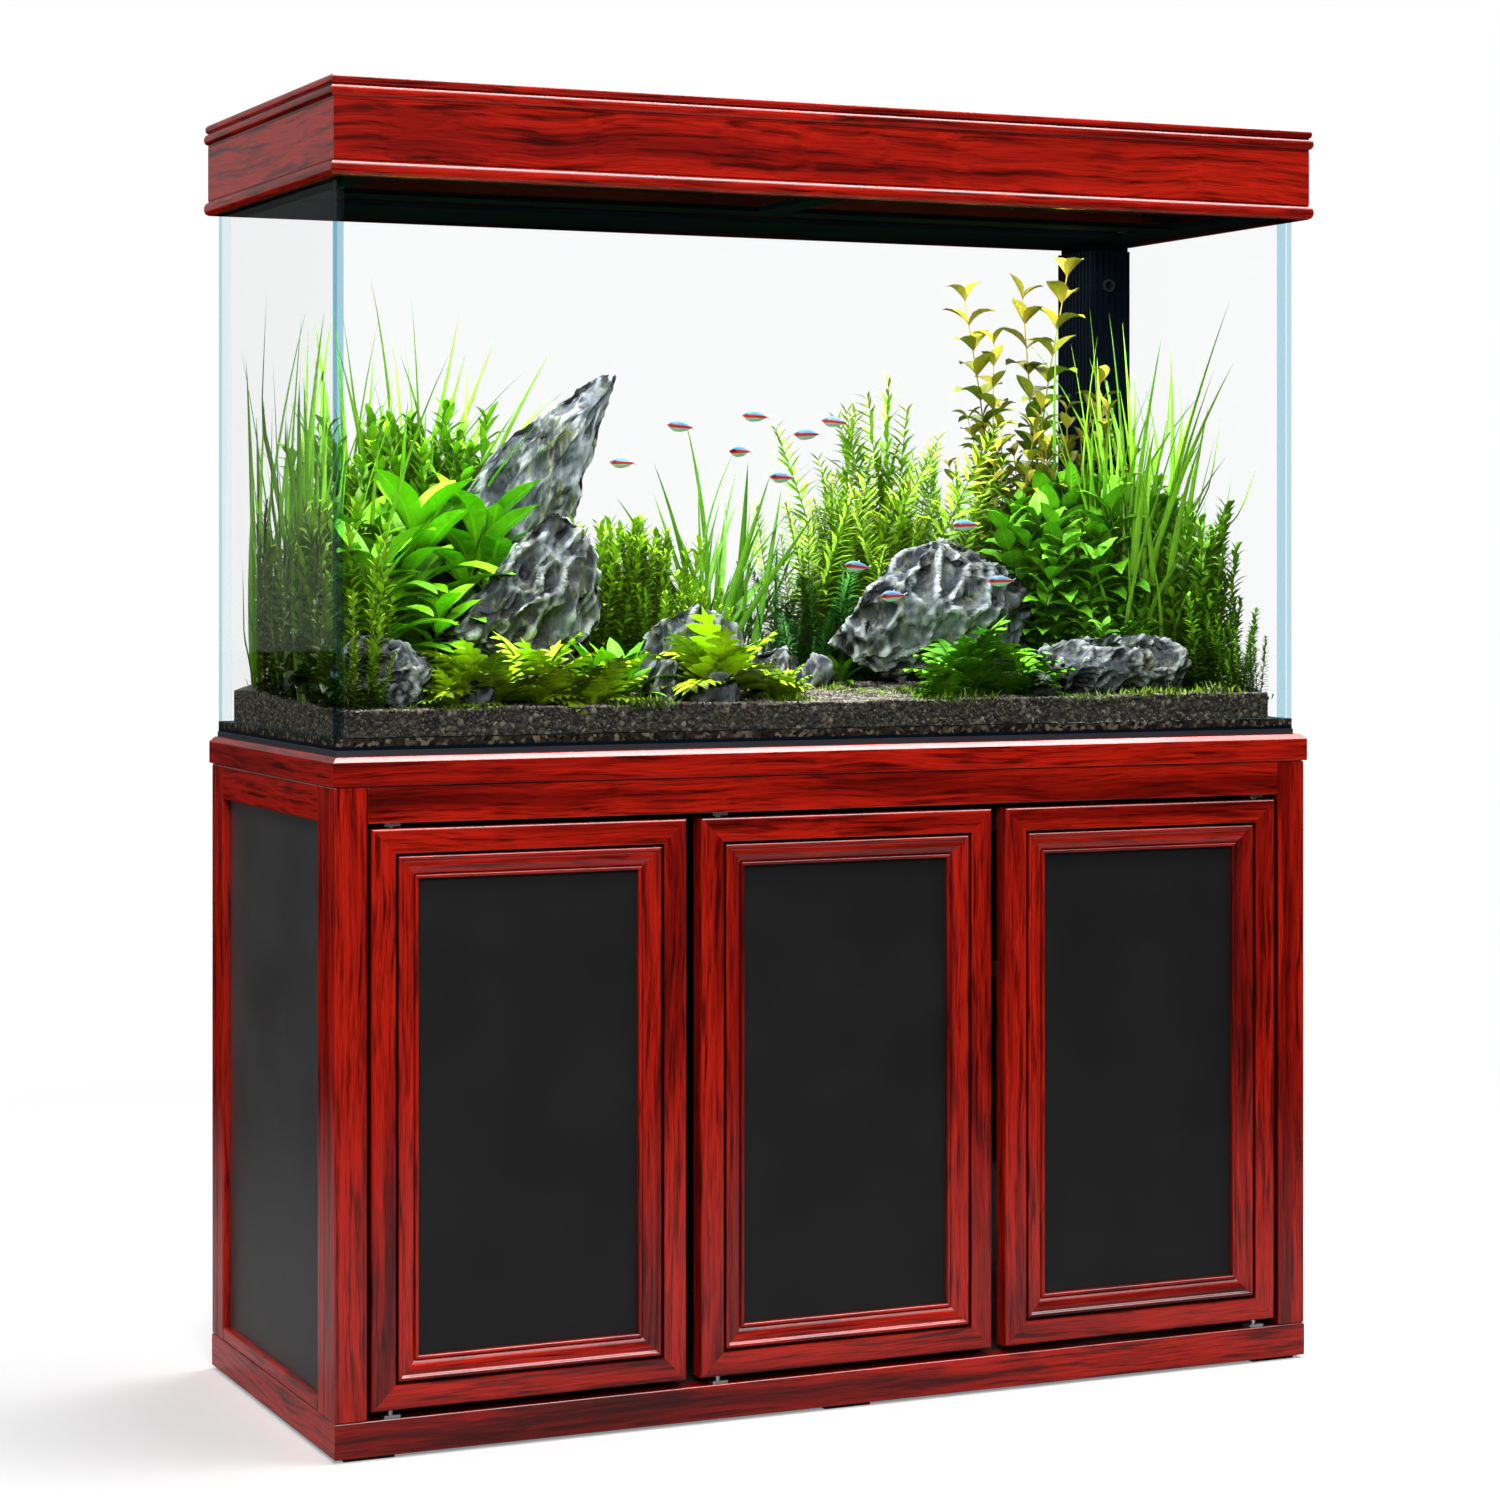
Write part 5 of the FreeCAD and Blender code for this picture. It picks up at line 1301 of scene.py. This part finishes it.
    def broad_leaves(self, luck):
        look = keep("broad_green", make_leaf_look, (0.012, 0.075, 0.003), (0.130, 0.420, 0.010), None, 1, 0.4)
        leaves = [leaf(0.050, 0.0220, bend, 0.3, 0.12, 0.42, rows=6, columns=4, ruffle=0.05)
                  for bend in (0.6, 1.0, 1.4)]
        shoots = [shoot(luck, leaves, 0.150, 0.0160, 3, (1.00, 0.35), (1.0, 0.90), 0.05, 0.0016)
                  for _ in range(4)]
        discard(*leaves)
        spots = spread(luck, 60, (0.345, 0.480), (-0.06, 0.06), (0.60, 1.40), (0.0, 0.35))
        spots += spread(luck, 20, (0.360, 0.460), (-0.10, -0.04), (0.30, 0.60), (0.1, 0.5))
        bed_of("broad_stems", luck, shoots, spots, look)


class AQUARIUM_OT_rosettes(bpy.types.Operator):
    """Sword plants, ferny rosettes and the moss carpet"""
    bl_idname = "aquarium.rosettes"
    bl_label = "Rosettes and carpet"

    def execute(self, context):
        luck = random.Random(55)
        self.swords(luck)
        self.ferns(luck)
        self.carpet(luck)
        return {"FINISHED"}

    def swords(self, luck):
        look = keep("sword_green", make_leaf_look, (0.012, 0.090, 0.003), (0.180, 0.540, 0.008),
                    vein=0.55, gloss=0.32)
        leaves = [leaf(0.118, 0.043, bend, 0.22, 0.07, 0.58, rows=9, columns=6, ruffle=0.02)
                  for bend in (0.6, 0.9, 1.2, 1.5)]
        plants = [shoot(luck, leaves, 0.130, 0.0210, 4, (1.15, 0.30), (0.95, 0.85), 0.0, 0.004)
                  for _ in range(3)]
        discard(*leaves)
        spots = [(-0.455, -0.020, 0.3, 0.10, TO_LEFT, 1.00), (-0.425, 0.020, 2.1, 0.10, TO_FRONT, 1.15),
                 (-0.375, 0.030, 4.0, 0.15, TO_RIGHT, 1.10), (-0.475, -0.055, 1.3, 0.20, TO_LEFT, 0.75),
                 (-0.480, 0.030, 5.3, 0.05, TO_LEFT, 1.00), (-0.335, 0.040, 2.7, 0.20, TO_RIGHT, 0.95),
                 (-0.430, -0.060, 3.3, 0.25, TO_FRONT, 0.62), (-0.500, -0.070, 0.8, 0.10, TO_FRONT, 0.95),
                 (-0.520, -0.030, 4.4, 0.05, TO_FRONT, 0.90)]
        bed_of("sword_plants", luck, plants, spots, look, "bushy_plants")
        small = [leaf(0.080, 0.0185, bend, 0.25, 0.25, 0.6, rows=7, columns=4) for bend in (0.5, 0.9, 1.2)]
        plants = [rosette(luck, small, 17, (0.05, 1.20), (1.0, 0.85), 0.003)]
        discard(*small)
        bed_of("small_swords", luck, plants,
               [(-0.232, -0.130, 0.0, 0, 0, 1.0), (-0.250, -0.110, 2.0, 0, 0, 0.9),
                (0.100, -0.010, 1.0, 0, 0, 0.55)],
               look)

    def ferns(self, luck):
        lime = keep("fern_lime", make_leaf_look, (0.060, 0.190, 0.003), (0.420, 0.700, 0.010), None, 1, 0.3)
        green = keep("fern_green", make_leaf_look, (0.016, 0.100, 0.003), (0.130, 0.430, 0.010), None, 1, 0.3)
        for name, look, spots in (
                ("lime_ferns", lime,
                 [(-0.400, -0.150, 0, 0.1, 0, 1.25), (-0.335, -0.155, 2, 0.1, 0, 1.15),
                  (-0.280, -0.165, 3, 0.1, 0, 0.95), (-0.440, -0.165, 5, 0.1, 0, 0.75),
                  (-0.115, -0.140, 2.4, 0.1, 0, 1.35), (-0.030, -0.130, 2.2, 0.1, 0, 0.60)]),
                ("green_ferns", green,
                 [(0.195, -0.150, 0, 0.1, 0, 1.25), (0.250, -0.150, 2, 0.1, 0, 1.15),
                  (0.405, -0.090, 4, 0.1, 0, 1.15), (0.445, -0.085, 5, 0.1, 0, 0.95),
                  (0.160, -0.165, 6, 0.1, 0, 0.60), (-0.520, -0.090, 1, 0.1, 0, 0.9),
                  (-0.160, 0.010, 1, 0.1, 0, 1.0), (0.280, -0.160, 1, 0.1, 0, 0.7)])):
            fronds = [self.frond(luck, bend) for bend in (0.7, 1.1, 1.5)]
            plants = [rosette(luck, fronds, 20, (0.05, 1.00), (1.15, 1.00), 0.004) for _ in range(3)]
            discard(*fronds)
            bed_of(name, luck, plants, spots, look, "low_plants")

    def frond(self, luck, arch):
        """A frond with pointed lobes on both sides."""
        length = 0.074
        parts = [leaf(length, 0.0120, arch, 0.3, 0.4, 0.5, rows=6)]
        lobe = leaf(0.024, 0.0110, 0.5, 0.2, 0.5, 0.35, rows=3, columns=2)
        for k in range(5):
            share = 0.26 + 0.14 * k
            turn = arch * share
            place = (0, length * (1 - math.cos(turn)) / arch, length * math.sin(turn) / arch)
            for side in (-1, 1):
                size = (1.1 - 0.13 * k) * luck.uniform(0.85, 1.15)
                pose = (Matrix.Translation(place) @ Matrix.Rotation(-turn, 4, "X")
                        @ Matrix.Rotation(side * 0.95, 4, "Y") @ Matrix.Scale(size, 4))
                parts.append(copy_of(lobe, pose))
        discard(lobe)
        return join("frond", parts)

    def carpet(self, luck):
        look = keep("moss_green", make_leaf_look, (0.030, 0.095, 0.003), (0.190, 0.340, 0.007), None, 1, 0.2,
                    shade_at=0.05)
        spears = [leaf(0.013, 0.0016, bend, 0.2, 0.6, 0.3, rows=2, columns=1) for bend in (0.4, 0.9, 1.4)]
        tufts = []
        for _ in range(4):
            parts = []
            for _ in range(44):
                twin = copy_of(luck.choice(spears), turned(luck.uniform(0, 6.28), luck.uniform(0.1, 1.0),
                                                           (luck.gauss(0, 0.008), luck.gauss(0, 0.008), 0),
                                                           luck.uniform(0.7, 1.2)))
                write(twin, "tint", luck.random())
                write(twin, "height", luck.uniform(0.3, 1.0))
                parts.append(twin)
            tufts.append(join("tuft", parts))
        discard(*spears)
        spots = []
        for count, x, y, size in (
                (16, (-0.265, -0.215), (-0.206, -0.170), (0.8, 1.3)),
                (12, (-0.060, -0.005), (-0.170, -0.120), (0.8, 1.3)),
                (14, (0.130, 0.205), (-0.205, -0.175), (0.8, 1.4)),
                (10, (0.020, 0.090), (-0.075, -0.040), (0.6, 1.0)),
                (10, (0.090, 0.150), (-0.110, -0.080), (0.6, 1.0)),
                (20, (0.300, 0.480), (-0.208, -0.186), (0.7, 1.3)),
                (20, (0.480, 0.570), (-0.205, -0.130), (0.8, 1.5)),
                (12, (-0.470, -0.400), (-0.206, -0.190), (0.5, 0.9)),
                (22, (-0.575, -0.440), (-0.200, 0.000), (0.6, 1.1)),
                (20, (0.100, 0.420), (0.010, 0.060), (0.9, 1.4)),
                (30, (-0.570, -0.200), (0.060, 0.210), (0.8, 1.4)),
                (24, (-0.200, 0.500), (0.080, 0.210), (0.8, 1.4))):
            spots += spread(luck, count, x, y, size, (0.0, 0.2))
        bed_of("moss_carpet", luck, tufts, spots, look, "low_plants")


# ------------------------------------------------------------------ fish
SCHOOL = ((-0.145, -0.095, 1.102), (-0.051, -0.095, 1.115), (0.012, -0.100, 1.095), (-0.075, -0.105, 1.074),
          (-0.018, -0.095, 1.045), (-0.186, -0.020, 1.062), (0.066, -0.060, 1.112), (0.196, -0.145, 0.990),
          (0.240, -0.150, 0.925), (0.052, -0.150, 0.942), (0.098, -0.150, 0.908))


def make_fish_look(name):
    """Small tetra: blue back, red stripe from nose to tail, pale belly, clear fins and a dark eye."""
    material, tree = blank(name)
    band, fin, eye = stored(tree, "band"), stored(tree, "fin"), stored(tree, "eye")
    cells = node(tree, "ShaderNodeTexVoronoi", {"Vector": coordinates(tree), "Scale": 1300.0})
    scales = cells.outputs["Distance"]
    tone = ramp(tree, band, [(0.30, (0.42, 0.72, 0.55, 1)), (0.36, (0.72, 0.030, 0.020, 1)),
                             (0.56, (0.80, 0.045, 0.025, 1)), (0.61, (0.20, 0.47, 0.80, 1)),
                             (0.95, (0.10, 0.28, 0.55, 1))])
    tone = blend(tree, fin, tone, (0.62, 0.74, 0.78, 1))
    tone = blend(tree, eye, tone, (0.010, 0.010, 0.012, 1))
    tone = blend(tree, 0.35, tone, ramp(tree, scales, [(0.0, 1.0), (0.7, 0.6)]), "MULTIPLY")
    surface = node(tree, "ShaderNodeBsdfPrincipled", {
        "Base Color": tone, "Roughness": 0.28, "Normal": bump(tree, scales, 0.2, 0.0003)})
    finish_with(tree, surface)
    return material


class AQUARIUM_OT_fish(bpy.types.Operator):
    """A school of small tetras"""
    bl_idname = "aquarium.fish"
    bl_label = "Fish"

    def execute(self, context):
        luck = random.Random(8)
        model = self.make_fish()
        school = []
        for place in SCHOOL:
            heading = Matrix.Rotation(luck.uniform(-0.25, 0.25), 4, "Z")
            pitch = Matrix.Rotation(luck.uniform(-0.05, 0.12), 4, "Y")
            school.append(copy_of(model, Matrix.Translation(place) @ (heading @ pitch)))
        discard(model)
        piece = join("tetra_school", school)
        piece.data.materials.append(keep("tetra_skin", make_fish_look))
        shade(piece, 50)
        fit(piece, "cabinet", "fish", "fish_school")
        return {"FINISHED"}

    def make_fish(self):
        """One fish that looks along -X, 34 mm long."""
        bpy.ops.mesh.primitive_uv_sphere_add(segments=16, ring_count=14, radius=1,
                                             rotation=(0, math.radians(90), 0))
        body = bpy.context.object
        settle(body)
        half = 0.0155
        bands, eyes = [], []
        for point in body.data.vertices:
            along, side, up = point.co
            nose = min(1, max(0, (along + 1) / 2))
            slim = (math.sin(math.pi * min(1, nose ** 0.75)) * 0.9 + 0.16) if 0 < nose < 1 else 0.0
            belly = 1.15 if up < 0 else 1.0
            bands.append(0.48 + 0.5 * up * (0.4 + 0.6 * math.sin(math.pi * nose)))
            eyes.append(1.0 if 0.10 < nose < 0.22 and abs(side) > 0.30 and 0.0 < up < 0.55 else 0.0)
            radius = math.hypot(side, up) or 1
            point.co = (along * half, side / radius * min(1, radius * 1.2) * 0.0026 * slim,
                        up / radius * min(1, radius * 1.2) * 0.0056 * slim * belly)
        write(body, "band", bands)
        write(body, "eye", eyes)
        write(body, "fin", 0.0)
        fins = [body]
        for length, width, place, tilt in ((0.0062, 0.0034, (0.0135, 0, 0.0004), 1.15),
                                           (0.0062, 0.0034, (0.0135, 0, -0.0004), 1.99),
                                           (0.0050, 0.0042, (0.0005, 0, 0.0030), 0.55),
                                           (0.0042, 0.0030, (0.0040, 0, -0.0030), 2.45)):
            fin = leaf(length, width, 0.15, 0.0, 0.5, 0.6, rows=3)
            settle(fin)
            fin.matrix_world = (Matrix.Translation(place) @ Matrix.Rotation(tilt, 4, "Y")
                                @ Matrix.Rotation(math.radians(90), 4, "Z"))
            write(fin, "band", 0.7)
            write(fin, "eye", 0.0)
            write(fin, "fin", 1.0)
            fins.append(fin)
        return join("tetra", fins)


# ------------------------------------------------------------------ stage
CAMERA_PLACE = (-1.6992, -3.7582, 0.9537)
CAMERA_HEADING = math.radians(-24.14)
CAMERA_SHIFT = -0.12925


class AQUARIUM_OT_stage(bpy.types.Operator):
    """Pale floor, soft studio light and the camera"""
    bl_idname = "aquarium.stage"
    bl_label = "Studio"

    def execute(self, context):
        settings = context.scene.stage_settings
        self.make_floor()
        self.make_surroundings(context.scene)
        self.add_light("key_light", settings.key_power, (-1.8, -4.2, 3.0), (1.8, 1.8), (0, 0, 0.9))
        self.add_light("top_light", settings.top_power, (0.9, 0.0, 3.6), (3.2, 2.2), (0.3, 0, 0.5))
        self.add_light("side_light", settings.side_power, (-3.6, 0.3, 0.7), (1.6, 1.6), (0, 0, 0.5))
        under_lamp = (0, -0.03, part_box("lamp_panel")[0].z - 0.012)
        self.add_light("tank_light", settings.tank_power, under_lamp, (1.0, 0.22), (0, -0.03, 0.8))
        self.add_camera(context.scene, settings.lens)
        context.scene.view_settings.view_transform = "Standard"
        return {"FINISHED"}

    def make_floor(self):
        bpy.ops.mesh.primitive_plane_add(size=60, location=(0, 0, 0))
        floor = bpy.context.object
        floor.name = "studio_floor"
        material, tree = blank("studio_paper")
        fibre = grain_noise(tree, coordinates(tree), 40, 3).outputs["Fac"]
        tone = ramp(tree, fibre, [(0.3, 0.86), (0.7, 0.90)])
        ray = node(tree, "ShaderNodeLightPath").outputs["Is Camera Ray"]
        tone = blend(tree, ray, (0.30, 0.30, 0.30, 1), tone)
        reach = node(tree, "ShaderNodeVectorMath", {0: coordinates(tree)},
                     operation="LENGTH").outputs["Value"]
        far = node(tree, "ShaderNodeMapRange", {"Value": reach, "From Min": 0.9, "From Max": 2.6}).outputs[0]
        tone = blend(tree, far, tone, (0, 0, 0, 1))
        surface = node(tree, "ShaderNodeBsdfDiffuse", {"Color": tone})
        glow = maths(tree, "MULTIPLY_ADD", far, 0.75, 0.25)
        seen = maths(tree, "MULTIPLY", ray, glow)
        lift = node(tree, "ShaderNodeEmission", {"Color": (1, 1, 1, 1), "Strength": seen})
        mixed = node(tree, "ShaderNodeAddShader")
        tree.links.new(surface.outputs[0], mixed.inputs[0])
        tree.links.new(lift.outputs[0], mixed.inputs[1])
        finish_with(tree, mixed)
        floor.data.materials.append(material)

    def make_surroundings(self, scene):
        """White behind the object; a dim room for the rest, with bright panels that only reflections see."""
        world = bpy.data.worlds.new("studio")
        scene.world = world
        world.use_nodes = True
        tree = world.node_tree
        tree.nodes.clear()
        way = node(tree, "ShaderNodeTexCoord").outputs["Generated"]
        parts = node(tree, "ShaderNodeSeparateXYZ", {0: way}).outputs
        aim = maths(tree, "MULTIPLY_ADD", parts["X"], -0.45, parts["Y"])
        glow = node(tree, "ShaderNodeMapRange", {"Value": aim, "From Min": -0.35, "From Max": 0.9,
                                                 "To Min": 0.03, "To Max": 0.22}).outputs[0]
        above = node(tree, "ShaderNodeMapRange", {"Value": parts["Z"], "From Min": 0.60, "From Max": 0.90,
                                                  "To Max": 9.0}).outputs[0]
        across = maths(tree, "ABSOLUTE", parts["X"])
        beside = node(tree, "ShaderNodeMapRange", {"Value": across, "From Min": 0.82, "From Max": 0.95,
                                                   "To Max": 1.3}).outputs[0]
        path = node(tree, "ShaderNodeLightPath").outputs
        panels = maths(tree, "MULTIPLY", maths(tree, "ADD", above, beside), path["Is Glossy Ray"])
        glow = maths(tree, "ADD", glow, panels)
        tone = node(tree, "ShaderNodeCombineColor", {0: glow, 1: glow, 2: glow}).outputs[0]
        room = blend(tree, path["Is Camera Ray"], tone, (1, 1, 1, 1))
        back = node(tree, "ShaderNodeBackground", {"Color": room, "Strength": 1.0})
        output = node(tree, "ShaderNodeOutputWorld")
        tree.links.new(back.outputs[0], output.inputs["Surface"])

    def add_light(self, name, power, place, size, target):
        light = bpy.data.lights.new(name, "AREA")
        light.shape = "RECTANGLE"
        light.size, light.size_y = size
        light.energy = power
        lamp = bpy.data.objects.new(name, light)
        bpy.context.scene.collection.objects.link(lamp)
        lamp.location = place
        lamp.rotation_euler = (Vector(target) - Vector(place)).to_track_quat("-Z", "Y").to_euler()
        lamp.visible_camera = False
        lamp.visible_glossy = name not in ("tank_light", "side_light")

    def add_camera(self, scene, lens):
        camera = bpy.data.cameras.new("studio_camera")
        camera.lens = lens
        camera.shift_y = CAMERA_SHIFT
        camera.dof.use_dof = False
        holder = bpy.data.objects.new("studio_camera", camera)
        scene.collection.objects.link(holder)
        holder.location = CAMERA_PLACE
        holder.rotation_euler = (math.radians(90), 0, CAMERA_HEADING)
        scene.camera = holder


# ------------------------------------------------------------------ panel and run
class AQUARIUM_PT_panel(bpy.types.Panel):
    """Lists the settings and the operators in the sidebar"""
    bl_label = "Aquarium on Stand"
    bl_idname = "AQUARIUM_PT_panel"
    bl_space_type = "VIEW_3D"
    bl_region_type = "UI"
    bl_category = "Aquarium"

    def draw(self, context):
        layout = self.layout
        for group, owner in SETTINGS:
            box = layout.box()
            for name in owner.__annotations__:
                box.prop(getattr(context.scene, group), name)
        for operator in OPERATORS:
            layout.operator(operator.bl_idname)


SETTINGS = (("wood_look", WoodLook), ("edge_sizes", EdgeSizes), ("stage_settings", StageSettings))
OPERATORS = (AQUARIUM_OT_carcass, AQUARIUM_OT_doors, AQUARIUM_OT_hood, AQUARIUM_OT_lids, AQUARIUM_OT_tank,
             AQUARIUM_OT_fittings, AQUARIUM_OT_soil, AQUARIUM_OT_rocks, AQUARIUM_OT_grasses,
             AQUARIUM_OT_stems, AQUARIUM_OT_rosettes, AQUARIUM_OT_fish, AQUARIUM_OT_stage)


def register():
    for group, owner in SETTINGS:
        bpy.utils.register_class(owner)
        setattr(bpy.types.Scene, group, bpy.props.PointerProperty(type=owner))
    for operator in OPERATORS:
        bpy.utils.register_class(operator)
    bpy.utils.register_class(AQUARIUM_PT_panel)


def unregister():
    bpy.utils.unregister_class(AQUARIUM_PT_panel)
    for operator in reversed(OPERATORS):
        bpy.utils.unregister_class(operator)
    for group, owner in reversed(SETTINGS):
        delattr(bpy.types.Scene, group)
        bpy.utils.unregister_class(owner)


def main():
    register()
    for operator in OPERATORS:
        family, name = operator.bl_idname.split(".")
        getattr(getattr(bpy.ops, family), name)()


if __name__ == "__main__":
    main()
